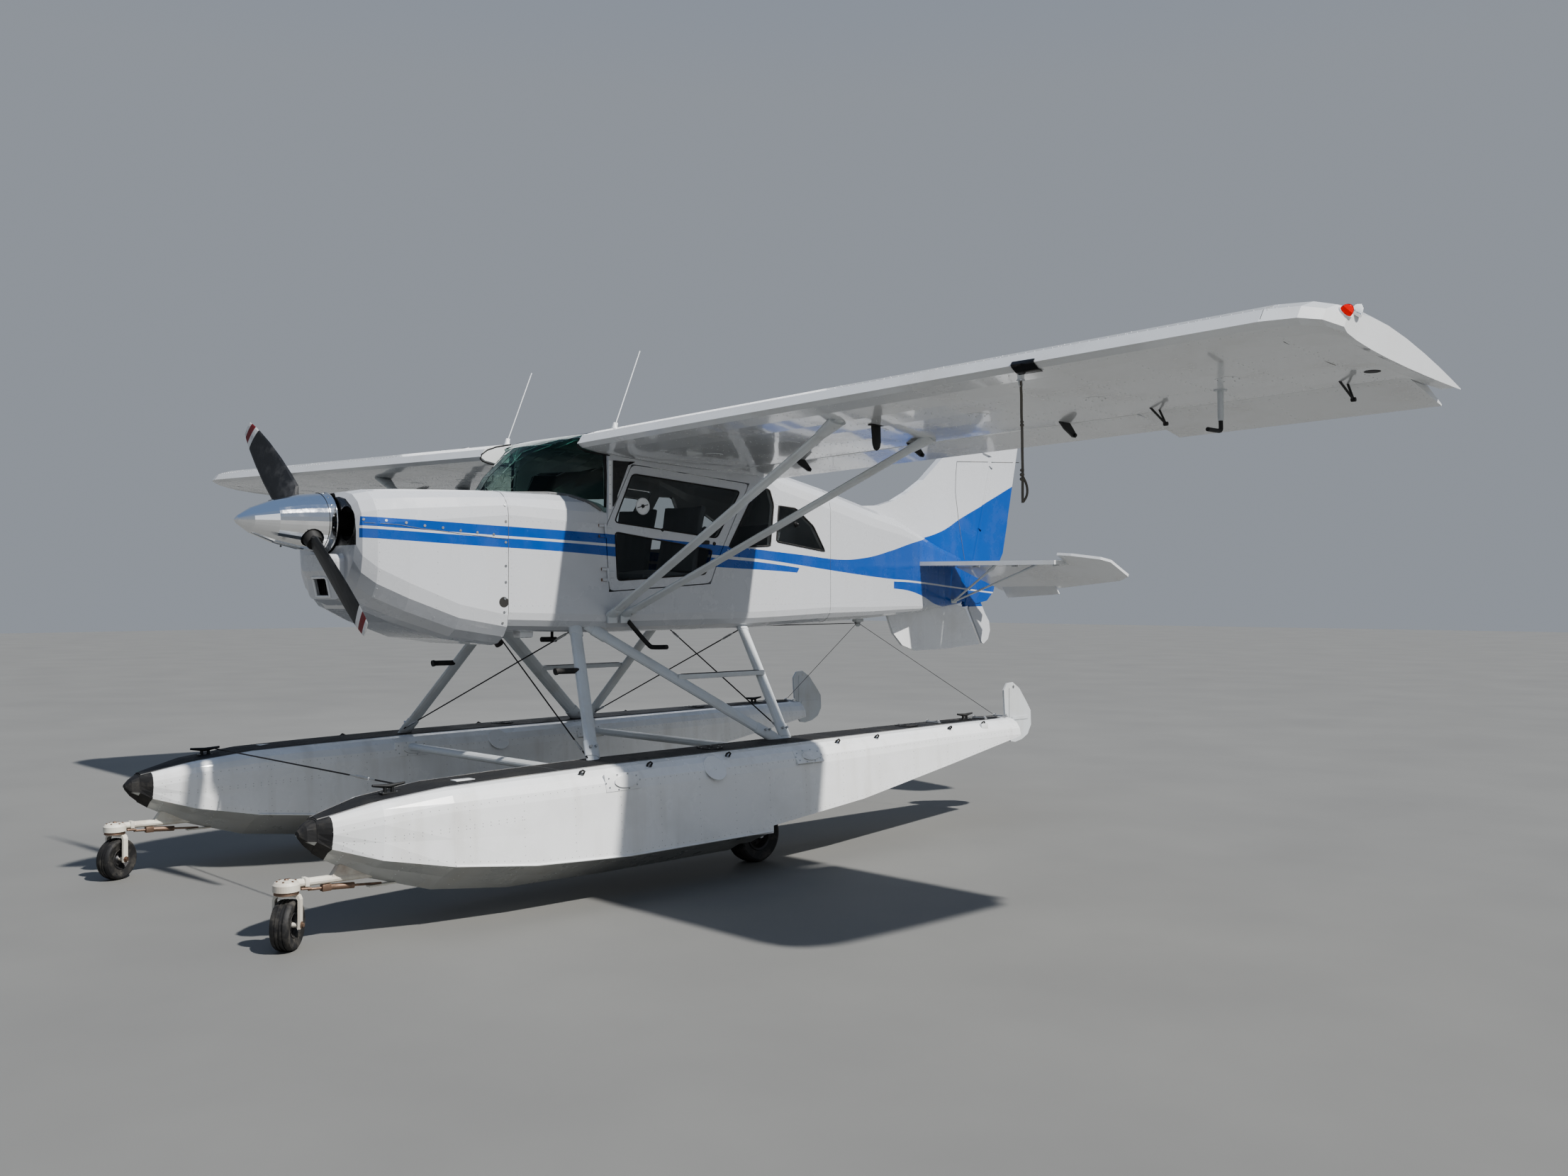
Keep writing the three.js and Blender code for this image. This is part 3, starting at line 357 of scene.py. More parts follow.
def woven(scale):  # threads that cross, with painted shade darker between them
    def look(tree, colour):
        coords = addNode(tree, "ShaderNodeTexCoord").outputs["Object"]
        sockets = {"Vector": coords, "Scale": scale, "Distortion": 0.6}
        warp, weft = (addNode(tree, "ShaderNodeTexWave", sockets, bands_direction=d).outputs["Fac"]
                      for d in "XZ")
        weave = maths(tree, "MAXIMUM", warp, weft)
        return mixColour(tree, weave, shadeAndDirtTone(colour), colour), weave
    return look


glossy, bright = {"Coat_Weight": 0.6, "Coat_Roughness": 0.05}, {"Coat_Weight": 0.5, "Coat_Roughness": 0.06}
clean = {"dirt": 0.06, "streaks": 0.03}
paints = {
    "livery": coat("liveryPaint", shadedWhite, {**clean, "look": striped}, **glossy),
    "cowl": coat("cowlPaint", shadedWhite, {**clean, "look": stripedWithInletShade}, **glossy),
    "white": coat("whitePaint", white, {"streaks": 0.10}, **bright),
    "wing": coat("wingPaint", (0.74, 0.755, 0.765, 1), {"dirt": 0.22, "rough": 0.16, "wave": 0.16},
                 Coat_Weight=0.7, Coat_Roughness=0.04),
    "strut": coat("strutPaint", (0.60, 0.63, 0.65, 1), {"dirt": 0.3, "streaks": 0.15, "rough": 0.34},
                  Coat_Weight=0.15),
    "cream": coat("rustyCream", (0.66, 0.64, 0.57, 1),
                  {"dirtColour": (0.22, 0.09, 0.035, 1), "dirt": 0.7, "streaks": 0.3, "rough": 0.5}),
    "blackTrim": coat("blackTrim", (0.016, 0.017, 0.018, 1),
                      {"dirtColour": (0.10, 0.09, 0.075, 1), "dirt": 0.3, "streaks": 0.1, "rough": 0.5}),
    "panelBlack": coat("panelBlack", (0.022, 0.023, 0.025, 1), {"dirt": 0.08, "rough": 0.6}),
    "darkGlass": coat("darkGlass", (0.010, 0.011, 0.013, 1), {"dirt": 0.05, "rough": 0.06, "wave": 0.02}),
    "rivet": coat("rivetPaint", (0.50, 0.505, 0.51, 1), {"dirt": 0.4, "rough": 0.4}),
    # Dark seam lines: sealant in the joints; the same colour is painted shade in the rudder's hinge gap
    "sealantAndShade": coat("seamShadow", (0.13, 0.135, 0.14, 1), {"dirt": 0.4, "streaks": 0.2, "rough": 0.6}),
    "float": coat("floatPaint", (0.80, 0.815, 0.825, 1),
                  {"look": greyBelow, "dirtColour": (0.36, 0.34, 0.29, 1), "dirt": 0.2, "streaks": 0.14,
                   "streakColour": (0.32, 0.28, 0.2, 1), "rough": 0.26, "dull": 0.25, "wave": 0.18,
                   "scales": {"dirtScale": 2.2, "streakScale": 9.0}}, Coat_Weight=0.35, Coat_Roughness=0.1),
    "blade": coat("bladePaint", (0.020, 0.021, 0.023, 1),
                  {"look": tipped, "dirtColour": (0.16, 0.16, 0.165, 1), "dirt": 0.35, "rough": 0.52,
                   "dull": 0.2, "wave": 0.06, "deep": 0.002, "scales": {"dirtScale": 14.0, "grain": 500.0}},
                  Coat_Weight=0.1),
    "deck": coat("deckCoat", (0.012, 0.0125, 0.014, 1),
                 {"look": gritty, "dirtColour": (0.10, 0.095, 0.085, 1), "dirt": 0.22, "rough": 0.6,
                  "dull": 0.2, "wave": 0.5, "deep": 0.002, "scales": {"dirtScale": 6.0, "grain": 300.0}}),
}

metals = {  # name, colour, roughness, bump, share of dirt
    "polished": ("polishedAluminium", (0.86, 0.87, 0.88, 1), 0.07, 0.05, 0.10),
    "steel": ("plainSteel", (0.52, 0.53, 0.54, 1), 0.32, 0.10, 0.35),
    "aluminium": ("bareAluminium", (0.72, 0.73, 0.74, 1), 0.28, 0.10, 0.25),
    "cable": ("bracingCable", (0.045, 0.045, 0.048, 1), 0.42, 0.15, 0.3),
    "exhaust": ("burntSteel", (0.30, 0.21, 0.16, 1), 0.5, 0.15, 0.6),
    "engine": ("engineIron", (0.10, 0.10, 0.105, 1), 0.55, 0.15, 0.5),
}
for key, (name, colour, rough, wave, dirt) in metals.items():
    paints[key] = coat(name, colour, {"dirtColour": (0.16, 0.14, 0.12, 1), "dirt": dirt, "dull": dirt,
                                      "rough": rough, "wave": wave, "deep": 0.002,
                                      "scales": {"dirtScale": 9.0, "streakScale": 20.0, "grain": 400.0}},
                       Metallic=1.0)

rubbers = {  # name, colour, grain, share of dust
    "tyre": ("tyreRubber", (0.018, 0.018, 0.019, 1), 260.0, 0.45),
    "rubber": ("bumperRubber", (0.014, 0.014, 0.015, 1), 420.0, 0.25),
}
for key, (name, colour, grain, dust) in rubbers.items():
    paints[key] = coat(name, colour, {"dirtColour": (0.20, 0.185, 0.16, 1), "dirt": dust, "rough": 0.62,
                                      "dull": 0.25, "wave": 0.3, "deep": 0.003,
                                      "scales": {"dirtScale": 16.0, "grain": grain}})

cloths = {  # name, colour, threads, sheen
    "cloth": ("seatCloth", (0.20, 0.215, 0.24, 1), 260.0, 0.3),
    "rope": ("ropeFibre", (0.17, 0.155, 0.13, 1), 500.0, 0.1),
}
for key, (name, colour, threads, sheen) in cloths.items():
    paints[key] = coat(name, colour, {"look": woven(threads), "dirtColour": shadeAndDirtTone(colour), "dirt": 0.3,
                                      "rough": 0.75, "dull": 0.15, "wave": 0.4, "deep": 0.002,
                                      "scales": {"dirtScale": 7.0}},
                       Sheen_Weight=sheen)

glassSetup = {"streaks": 0.12, "streakColour": (0.6, 0.6, 0.56, 1), "stripFrom": 2.44, "stripTo": 2.60,
              "strip": (0.22, 0.42, 0.36, 1)}


def makeGlass(name, tint, c, strip=False):
    made, tree, shader = startMaterial(name, Transmission_Weight=1.0, IOR=1.2, Roughness=0.02)
    wear = placeGroup(tree, weathering, dirtScale=5.0, streakScale=14.0, grain=90.0)
    colour = mixColour(tree, times(tree, wear.outputs["streaks"], c["streaks"]), tint, c["streakColour"])
    if strip:  # darker sun strip along the top
        up = placeOf(tree)["Z"]
        share = addNode(tree, "ShaderNodeMapRange", {"Value": up, 1: c["stripFrom"], 2: c["stripTo"]})
        colour = mixColour(tree, share.outputs[0], colour, c["strip"])
    tree.links.new(colour, shader.inputs["Base Color"])
    return made


paints["windshield"] = makeGlass("windshieldTint", (0.72, 0.84, 0.79, 1), glassSetup, strip=True)
paints["window"] = makeGlass("windowTint", (0.80, 0.82, 0.81, 1), glassSetup)
paints["lens"] = makeGlass("clearLens", (0.86, 0.88, 0.88, 1), glassSetup)
paints["redLens"] = makeGlass("redLens", (0.75, 0.03, 0.02, 1), glassSetup)
paints["greenLens"] = makeGlass("greenLens", (0.02, 0.55, 0.12, 1), glassSetup)


def makeFloor():
    made, tree, shader = startMaterial("studioFloor", Roughness=0.75)
    coords = addNode(tree, "ShaderNodeTexCoord").outputs["Object"]
    cloud = addNode(tree, "ShaderNodeTexNoise", {"Vector": coords, "Scale": 0.8, "Detail": 4}).outputs[0]
    tree.links.new(mixColour(tree, cloud, (0.17, 0.17, 0.165, 1), (0.22, 0.22, 0.21, 1)),
                   shader.inputs["Base Color"])
    return made


paints["floor"] = makeFloor()
print("materials made")


# Mesh helpers
def dress(piece, paint, body="airframe", smooth=35.0):
    piece.data.materials.clear()
    piece.data.materials.append(paints[paint])
    if smooth and piece.type == "MESH":
        piece.data.shade_smooth()
        piece.data.set_sharp_from_angle(angle=math.radians(smooth))
    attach(piece, body)
    return piece


def finishPiece(name, bm, paint, body="airframe", smooth=35.0):
    bmesh.ops.remove_doubles(bm, verts=bm.verts, dist=1e-6)
    bmesh.ops.recalc_face_normals(bm, faces=bm.faces)
    mesh = bpy.data.meshes.new(name)
    bm.to_mesh(mesh)
    bm.free()
    piece = bpy.data.objects.new(name, mesh)
    scene.collection.objects.link(piece)
    return dress(piece, paint, body, smooth)


def turnTo(axis, place=(0, 0, 0), flow=None):  # a frame whose Z runs along axis
    z = Vector(axis).normalized()
    x = Vector(flow or ((1, 0, 0) if abs(z.x) < 0.9 else (0, 1, 0)))
    x = (x - z * x.dot(z)).normalized()
    return Matrix.Translation(Vector(place)) @ Matrix((x, z.cross(x), z)).transposed().to_4x4()


def turns(count, first=0.0):  # angles of things evenly spaced round a circle
    return [2 * math.pi * k / count + first for k in range(count)]


def addDisc(bm, place, axis, radius, depth, segments=12, top=None):
    m = turnTo(axis, Vector(place) + Vector(axis).normalized() * depth / 2)
    bmesh.ops.create_cone(bm, cap_ends=True, segments=segments, radius1=radius,
                          radius2=radius if top is None else top, depth=depth, matrix=m)


def discOn(bm, hit, lift, radius, depth, segments=12, top=None):  # a disc standing on a surface
    addDisc(bm, hit[0] + hit[1] * lift, hit[1], radius, depth, segments, top)


def addRod(bm, a, b, radius, segments=10, top=None):
    a, b = Vector(a), Vector(b)
    addDisc(bm, a, b - a, radius, (b - a).length, segments, top)


def bevelled(bm, edges, offset):
    bmesh.ops.bevel(bm, geom=list(edges), offset=offset, affect="EDGES", segments=2, profile=0.5, material=-1)


def addBlock(bm, a, b, bevel=0.0, matrix=None):  # a box between two of its corners
    low, high = (Vector(v) for v in zip(*(sorted(pair) for pair in zip(a, b))))
    place = Matrix.Translation((low + high) / 2) @ Matrix.Diagonal((*(high - low), 1))
    made = bmesh.ops.create_cube(bm, size=1, matrix=(matrix or Matrix()) @ place)
    if bevel:
        bevelled(bm, {e for v in made["verts"] for e in v.link_edges}, bevel)


def addPlate(bm, points, thick, bevel=0.0):  # an outline of points, given thickness along its own normal
    face = bm.faces.new([bm.verts.new(p) for p in points])
    face.normal_update()
    made = bmesh.ops.extrude_face_region(bm, geom=[face])
    moved = [v for v in made["geom"] if isinstance(v, bmesh.types.BMVert)]
    bmesh.ops.translate(bm, verts=moved, vec=face.normal * thick)
    if bevel:
        bevelled(bm, {e for v in moved for e in v.link_edges if e.other_vert(v) in moved}, bevel)


def addDome(bm, place, axis, radius, height, segments=12, rings=4):
    made = bmesh.ops.create_uvsphere(bm, u_segments=segments, v_segments=2 * rings, radius=1.0)
    below = [v for v in made["verts"] if v.co.z < -0.01]
    bmesh.ops.delete(bm, geom=below, context="VERTS")
    kept = [v for v in made["verts"] if v.is_valid]
    rim = list({e for v in kept for e in v.link_edges if e.is_boundary})
    bmesh.ops.holes_fill(bm, edges=rim, sides=0)
    m = turnTo(axis, place) @ Matrix.Diagonal((radius, radius, height, 1))
    bmesh.ops.transform(bm, matrix=m, verts=kept)


def newCurve(name, routes, radius, rounds, closed=False, order=None, resolution=6):  # order: a smooth curve
    curve = bpy.data.curves.new(name, "CURVE")
    curve.dimensions = "3D"
    curve.bevel_depth = radius
    curve.bevel_resolution = rounds
    curve.use_fill_caps = True
    for route in routes:
        spline = curve.splines.new("NURBS" if order else "POLY")
        spline.points.add(len(route) - 1)
        for spot, place in zip(spline.points, route):
            spot.co = (*place, 1)
        spline.use_cyclic_u = closed
        if order:
            spline.use_endpoint_u = True
            spline.order_u = order
            spline.resolution_u = resolution
    return bpy.data.objects.new(name, curve)


def lines(name, routes, radius, paint, body="airframe", closed=False, rounds=2, curved=False):
    guide = newCurve(name, routes, radius, rounds, closed, 3 if curved else None)
    mesh = bpy.data.meshes.new_from_object(guide)
    bpy.data.objects.remove(guide)
    made = bpy.data.objects.new(name, mesh)
    scene.collection.objects.link(made)
    return dress(made, paint, body, 60)


# Surfaces of the CAD nodes, so that a detail lies on what carries it. A hit is a place and the normal there.
surfaceTrees = {}


def surfaceOf(*names):
    if names not in surfaceTrees:
        spots, faces = [], []
        for name in names:
            mesh = nodes[name].data
            start = len(spots)
            spots += [v.co.copy() for v in mesh.vertices]
            faces += [[start + i for i in p.vertices] for p in mesh.polygons]
        surfaceTrees[names] = BVHTree.FromPolygons(spots, faces)
    return surfaceTrees[names]


def drop(tree, start, towards):  # where a ray meets the surface
    place, normal, _, _ = tree.ray_cast(Vector(start), Vector(towards).normalized())
    if place is None:
        return None
    if normal.dot(Vector(towards)) > 0:
        normal = -normal
    return place, normal


def fromAbove(tree, x, station, start=4):
    return drop(tree, at(x, station, start), groundward)


def fromBelow(tree, x, station, start=1.5):
    return drop(tree, at(x, station, start), skyward)


def onSide(tree, side, station, z):  # the outer skin at a station and height, from port or starboard
    return drop(tree, at(side * 3.0, station, z), (-side, 0, 0))


def found(hits):
    return [hit for hit in hits if hit]


def lifted(hits, lift):
    return [place + normal * lift for place, normal in hits]


def spaced(points, step):  # points every `step` along a polyline
    out = []
    carry = 0.0
    for a, b in zip(points, points[1:]):
        a, b = Vector(a), Vector(b)
        length = (b - a).length
        d = carry
        while d < length:
            out.append(a.lerp(b, d / length))
            d += step
        carry = d - length
    return out


def sideHits(tree, sign, points, step, last=False):  # stations and heights laid on the skin of one side
    spots = spaced([at(0, *p) for p in points], step) + ([at(0, *points[-1])] if last else [])
    return found([drop(tree, Vector((sign * 3, p.y, p.z)), (-sign, 0, 0)) for p in spots])


def sideRoute(tree, sign, points, lift=0.0, step=0.04):
    return lifted(sideHits(tree, sign, points, step, True), lift)


def hoop(tree, station, middle, count=48, first=0.0, last=360.0):  # hits round a section of the body
    hits = []
    for k in range(count + 1):
        angle = math.radians(first + (last - first) * k / count)
        away = Vector((math.sin(angle), 0, math.cos(angle)))
        hits.append(drop(tree, at(0, station, middle) + away * 3, -away))
    return found(hits)


def addRivet(bm, hit, radius, height):
    discOn(bm, hit, -height * 0.4, radius, height * 1.4, 6, radius * 0.55)


def rivetPiece(name, hits, paint="white", body="airframe", radius=0.0034, height=0.0016):
    parts, batch = [], 250
    for start in range(0, len(hits), batch):  # a small mesh at a time, because bmesh slows as it grows
        bm = bmesh.new()
        for hit in hits[start:start + batch]:
            addRivet(bm, hit, radius, height)
        data = bpy.data.meshes.new("rivets")
        bm.to_mesh(data)
        bm.free()
        parts.append(data)
    whole = bmesh.new()
    for data in parts:
        whole.from_mesh(data)
        bpy.data.meshes.remove(data)
    return finishPiece(name, whole, paint, body, 30)


def drape(bm, tree, towards, place, columns, rows, lift, thick=0.003):  # a sheet laid on a surface
    made = bmesh.ops.create_grid(bm, x_segments=columns, y_segments=rows, size=1)
    for v in made["verts"]:
        aim = place(v.co.x, (v.co.y + 1) / 2)
        hit = drop(tree, aim - Vector(towards) * 2, towards)
        v.co = hit[0] + hit[1] * lift if hit else aim
    faces = list({f for v in made["verts"] for f in v.link_faces})
    bmesh.ops.recalc_face_normals(bm, faces=faces)
    bmesh.ops.solidify(bm, geom=faces, thickness=thick)


# a profile of (radius, along) spun round an axis
def spun(bm, profile, centre, axis, steps=56, closed=False):
    m = turnTo(axis, centre)
    verts = [bm.verts.new(m @ Vector((r, 0, t))) for r, t in profile]
    pairs = list(zip(verts, verts[1:])) + ([(verts[-1], verts[0])] if closed else [])
    edges = [bm.edges.new(pair) for pair in pairs]
    bmesh.ops.spin(bm, geom=verts + edges, cent=centre, axis=axis, dvec=(0, 0, 0), angle=2 * math.pi,
                   steps=steps, use_merge=True, use_duplicate=False)


def circle(centre, axis, radius, count=48):
    m = turnTo(axis, centre)
    return [m @ Vector((radius * math.cos(angle), radius * math.sin(angle), 0)) for angle in turns(count)]


def between(table, x):  # a value between the rows of a short table
    for (a, low), (b, high) in zip(table, table[1:]):
        if x <= b:
            return low + (high - low) * max(0.0, (x - a) / (b - a))
    return table[-1][1]


def onPoint(v, sign=1):  # a measured (x, station, z) in the frame of the model
    return at(sign * v[0], v[1], v[2])


# Every carried-over CAD node gets its finish
nodePaints = {
    "cabin_shell": "livery", "cowl": "cowl", "tailcone": "livery", "fin": "livery", "rudder": "livery",
    "windshield": "windshield", "engine_block": "engine", "spinner": "polished", "propeller": "blade",
    "instrument_panel": "panelBlack", "front_seats": "cloth", "rear_bench": "cloth", "stabilizer": "wing",
    "elevator": "wing", "ventral_fin": "white", "spreader_bar_front": "strut", "spreader_bar_rear": "strut",
}
sidePaints = {
    "rear_window": "window", "quarter_window": "window", "door": "livery", "wing": "wing", "flap": "wing",
    "aileron": "wing", "wing_strut_front": "strut", "wing_strut_rear": "strut", "tail_struts": "strut",
    "float": "float", "main_gear_leg": "strut", "nose_gear_arm": "cream", "main_wheel": "tyre",
    "nose_wheel": "tyre", "nose_fork": "cream", "water_rudder": "strut", "float_strut_front": "strut",
    "float_strut_diagonal": "strut", "float_strut_rear": "strut", "tie_rope": "rope", "whip_antenna": "white",
}
for stem, paint in sidePaints.items():
    for side, _ in sides:
        nodePaints[f"{stem}_{side}"] = paint
for name, obj in nodes.items():
    obj.data.materials.clear()
    obj.data.materials.append(paints[nodePaints[name]])
print("CAD nodes painted")

floorMesh = bmesh.new()
bmesh.ops.create_grid(floorMesh, x_segments=1, y_segments=1, size=60)
floorData = bpy.data.meshes.new("floor")
floorMesh.to_mesh(floorData)
floorMesh.free()
floor = bpy.data.objects.new("floor", floorData)
floorData.materials.append(paints["floor"])
scene.collection.objects.link(floor)

# Tie-down ropes, hanging free from the lugs under the wings, each with its knots (height, radius) and eye
ropeSetup = {
    "top": (3.741, 2.118, 2.6107), "radius": 0.006, "length": 0.541, "eyeShare": 0.92,
    "route": [(0, 0, 0), (0, 0, -0.012), (0.002, 0.004, -0.06), (-0.003, 0.008, -0.14), (0.004, 0.006, -0.23),
              (0, 0.010, -0.33), (0.003, 0.012, -0.42), (-0.002, 0.014, -0.50), (0, 0.014, -0.54)],
    "eye": [(0.003, 0.012, -0.425), (0.010, 0.026, -0.450), (0.012, 0.034, -0.485), (0.008, 0.032, -0.515),
            (0, 0.018, -0.536)],
    "knots": [(-0.180, 0.0105), (-0.195, 0.0115), (-0.395, 0.011), (-0.415, 0.0135), (-0.435, 0.0125)],
    "knotShift": 0.009, "knotTurn": 40, "knotSides": (0.8, 0.7),
}


def makeRope(side, sign, c):
    start = onPoint(c["top"], sign)
    route, eyeRoute = ([start + Vector((sign * x, y, z)) for x, y, z in c[key]] for key in ("route", "eye"))
    rope = newCurve(f"tieRope_{side}", [route], c["radius"], 3, order=4, resolution=8)
    scene.collection.objects.link(rope)
    dress(rope, "rope")
    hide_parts(f"tie_rope_{side}")
    bm = bmesh.new()
    for z, r in c["knots"]:
        m = Matrix.Translation(start + Vector((0, c["knotShift"], z)))
        m = m @ Matrix.Rotation(z * c["knotTurn"], 4, "Z")
        m = m @ Matrix.Diagonal((r, r * c["knotSides"][0], r * c["knotSides"][1], 1))
        bmesh.ops.create_icosphere(bm, subdivisions=2, radius=1.0, matrix=m)
    knots = finishPiece(f"ropeKnots_{side}", bm, "rope")
    eye = lines(f"ropeEye_{side}", [eyeRoute], c["radius"] * c["eyeShare"], "rope",
                curved=True)


for side, sign in sides:
    makeRope(side, sign, ropeSetup)
print("ropes hung")

# Propeller and spinner
propSetup = {"hub": (0, 0.560, 2.072), "tilt": -51, "cuff": 0.054, "cuffTip": 0.82, "cuffFrom": 0.140,
             "cuffTo": 0.196,
             "rimStation": 0.684, "rim": 0.1708, "seamStation": 0.640, "seam": 0.1678, "screws": 16,
             "screwStation": 0.662, "screw": (0.006, 0.003)}


def makePropeller(c):
    unit, metal = "propeller_unit", "spinner_metal"
    hub = onPoint(c["hub"])
    bm = bmesh.new()
    for half in (0, 180):
        angle = math.radians(c["tilt"] + half)
        out = Vector((math.sin(angle), 0, math.cos(angle)))
        low, high = hub + out * c["cuffFrom"], hub + out * c["cuffTo"]
        addRod(bm, low, high, c["cuff"], 28, c["cuff"] * c["cuffTip"])
    finishPiece("bladeCuffs", bm, "blackTrim", unit)
    middle = at(0, 0, c["hub"][2])
    rim = circle(middle + Vector((0, c["rimStation"], 0)), (0, 1, 0), c["rim"], 64)
    lines("spinnerRim", [rim], 0.0035, "polished", unit, closed=True)
    seam = circle(middle + Vector((0, c["seamStation"], 0)), (0, 1, 0), c["seam"], 64)
    lines("spinnerSeam", [seam], 0.0014, "blackTrim", unit, closed=True)
    tree = surfaceOf("spinner")
    bm = bmesh.new()
    for angle in turns(c["screws"], math.pi / c["screws"]):
        away = Vector((math.sin(angle), 0, math.cos(angle)))
        hit = drop(tree, middle + Vector((0, c["screwStation"], 0)) + away, -away)
        if hit and (hit[0] - middle).length > 0.1:
            addRivet(bm, hit, *c["screw"])
    finishPiece("spinnerScrews", bm, "steel", unit)


makePropeller(propSetup)

# Cowl: inlets, intake, seams, fasteners, belly and exhaust
cowlSetup = {
    "fins": 9, "finReach": 0.1, "finSpread": 0.085, "finFrom": 0.792, "finTo": 0.857,
    "intake": (0.080, 1.656, 1.764), "intakeSteps": 8, "grille": (0.082, 1.652, 1.768), "grilleFace": 0.728,
    "split": [(0.73, 2.061), (0.894, 2.054), (1.013, 2.036), (1.14, 2.026), (1.263, 2.011), (1.391, 2.002),
              (1.512, 1.992), (1.552, 1.989)],
    "rear": [(1.540, 2.188), (1.540, 2.092), (1.540, 1.971), (1.540, 1.833), (1.540, 1.738), (1.535, 1.642),
             (1.53, 1.563), (1.525, 1.50)],
    "stud": (0.009, 0.0035, 12, 0.0075), "studRise": 0.018, "studPitch": 0.105, "hole": (1.528, 1.622),
    "exhaust": [(0.26, 1.48, 1.46), (0.26, 1.60, 1.435), (0.26, 1.645, 1.405), (0.26, 1.672, 1.372)],
    "lip": [(0.022, 0.0), (0.027, 0.0), (0.0285, 0.006), (0.027, 0.014), (0.022, 0.014)],
    "belly": ((0.30, 1.74, 1.405), (0.38, 1.84, 1.452)), "rivetStations": (0.80, 1.12, 1.545),
}


def makeIntake(tree, c):
    half, low, high = c["intake"]
    corners = [(-half, low), (half, low), (half, high), (-half, high)]
    edge, steps = [], c["intakeSteps"]
    for (x0, z0), (x1, z1) in zip(corners, corners[1:] + corners[:1]):
        for k in range(steps):
            x, z = x0 + (x1 - x0) * k / steps, z0 + (z1 - z0) * k / steps
            edge.append(drop(tree, at(x, 0.2, z), (0, 1, 0)))
    lines("intakeFrame", [lifted(found(edge), 0.002)], 0.008, "white", closed=True)
    bm = bmesh.new()
    (half, low, high), face = c["grille"], c["grilleFace"]
    addBlock(bm, at(-half, face, low), at(half, face + 0.014, high))
    for k in range(7):  # upright bars, then level ones
        x = -0.066 + 0.132 * k / 6
        addBlock(bm, at(x - 0.002, face - 0.028, low + 0.002), at(x + 0.002, face, high - 0.002))
    for k in range(5):
        z = low + 0.020 + 0.076 * k / 4
        addBlock(bm, at(-half, face - 0.023, z - 0.002), at(half, face, z + 0.002))
    finishPiece("intakeGrille", bm, "blackTrim")


def makeCowlTrim(c):
    tree = surfaceOf("cowl")
    fins = bmesh.new()
    x, z, reach, spread = inletSetup["x"], inletSetup["z"], c["finReach"], c["finSpread"]
    for _, sign in sides:
        for k in range(c["fins"]):
            high = z - spread + 2 * spread * k / (c["fins"] - 1)
            addBlock(fins, at(sign * x - reach, c["finFrom"], high - 0.002),
                     at(sign * x + reach, c["finTo"], high + 0.002))
        addBlock(fins, at(sign * x - 0.03, c["finFrom"] - 0.002, z - reach),
                 at(sign * x + 0.03, c["finTo"] + 0.001, z + reach), 0.004)
    finishPiece("coolingFins", fins, "engine")
    makeIntake(tree, c)
    studs, seams, holes = bmesh.new(), [], bmesh.new()
    for _, sign in sides:
        seams.append(sideRoute(tree, sign, c["split"], 0.0005))
        above = sideHits(tree, sign, [(s, z + c["studRise"]) for s, z in c["split"]], c["studPitch"])
        for hit in above + found([onSide(tree, sign, s, z) for s, z in c["rear"]]):
            discOn(studs, hit, -0.001, *c["stud"])
        # a black disc sunk in each side hole: painted shade inside the hole
        discOn(holes, onSide(tree, sign, *c["hole"]), -0.004, 0.031, 0.0045, 28)
    lines("cowlSeams", seams, 0.0016, "sealantAndShade")
    finishPiece("cowlFasteners", studs, "steel")
    finishPiece("cowlHoleShade", holes, "blackTrim")
    pipe = [onPoint(p) for p in c["exhaust"]]
    lines("exhaustPipe", [pipe], 0.027, "engine", curved=True, rounds=4)
    bm = bmesh.new()
    away = (pipe[-1] - pipe[-2]).normalized()
    spun(bm, c["lip"], pipe[-1] - away * 0.004, away, 24, True)
    finishPiece("exhaustLip", bm, "engine")
    bm = bmesh.new()
    addBlock(bm, *(onPoint(p) for p in c["belly"]), 0.012)
    finishPiece("bellyFairing", bm, "white")
    rivetPiece("cowlRivets", [hit for s in c["rivetStations"] for hit in hoop(tree, s, 1.85, 44, 28, 332)],
               "livery")


makeCowlTrim(cowlSetup)
print("propeller and cowl detailed")

# Windshield trim and the cabin's skin. The foot of the screen runs from front to side as a parabola.
shieldSetup = {
    "front": 1.690, "side": 2.272, "half": 0.524, "reach": 0.515, "lower": 0.011, "below": 2.30, "steps": 40,
    "post": [(2.296, 2.20), (2.296, 2.50)], "postHalf": 0.011, "postFaces": (0.5385, 0.5415),
    "screw": (0.005, 0.003),
    "cuff": [(2.29, 2.533), (2.20, 2.535), (2.12, 2.543), (2.066, 2.556), (2.047, 2.571), (2.058, 2.602),
             (2.10, 2.634), (2.17, 2.660), (2.25, 2.678), (2.285, 2.684)],
    "edgeStation": 2.278, "edgeHeights": [(2.21, 1), (2.30, 1), (2.40, 1), (2.50, 0.985), (2.56, 0.985)],
    "pane": [(2.322, 2.500), (2.488, 2.505), (2.319, 2.215)],
}


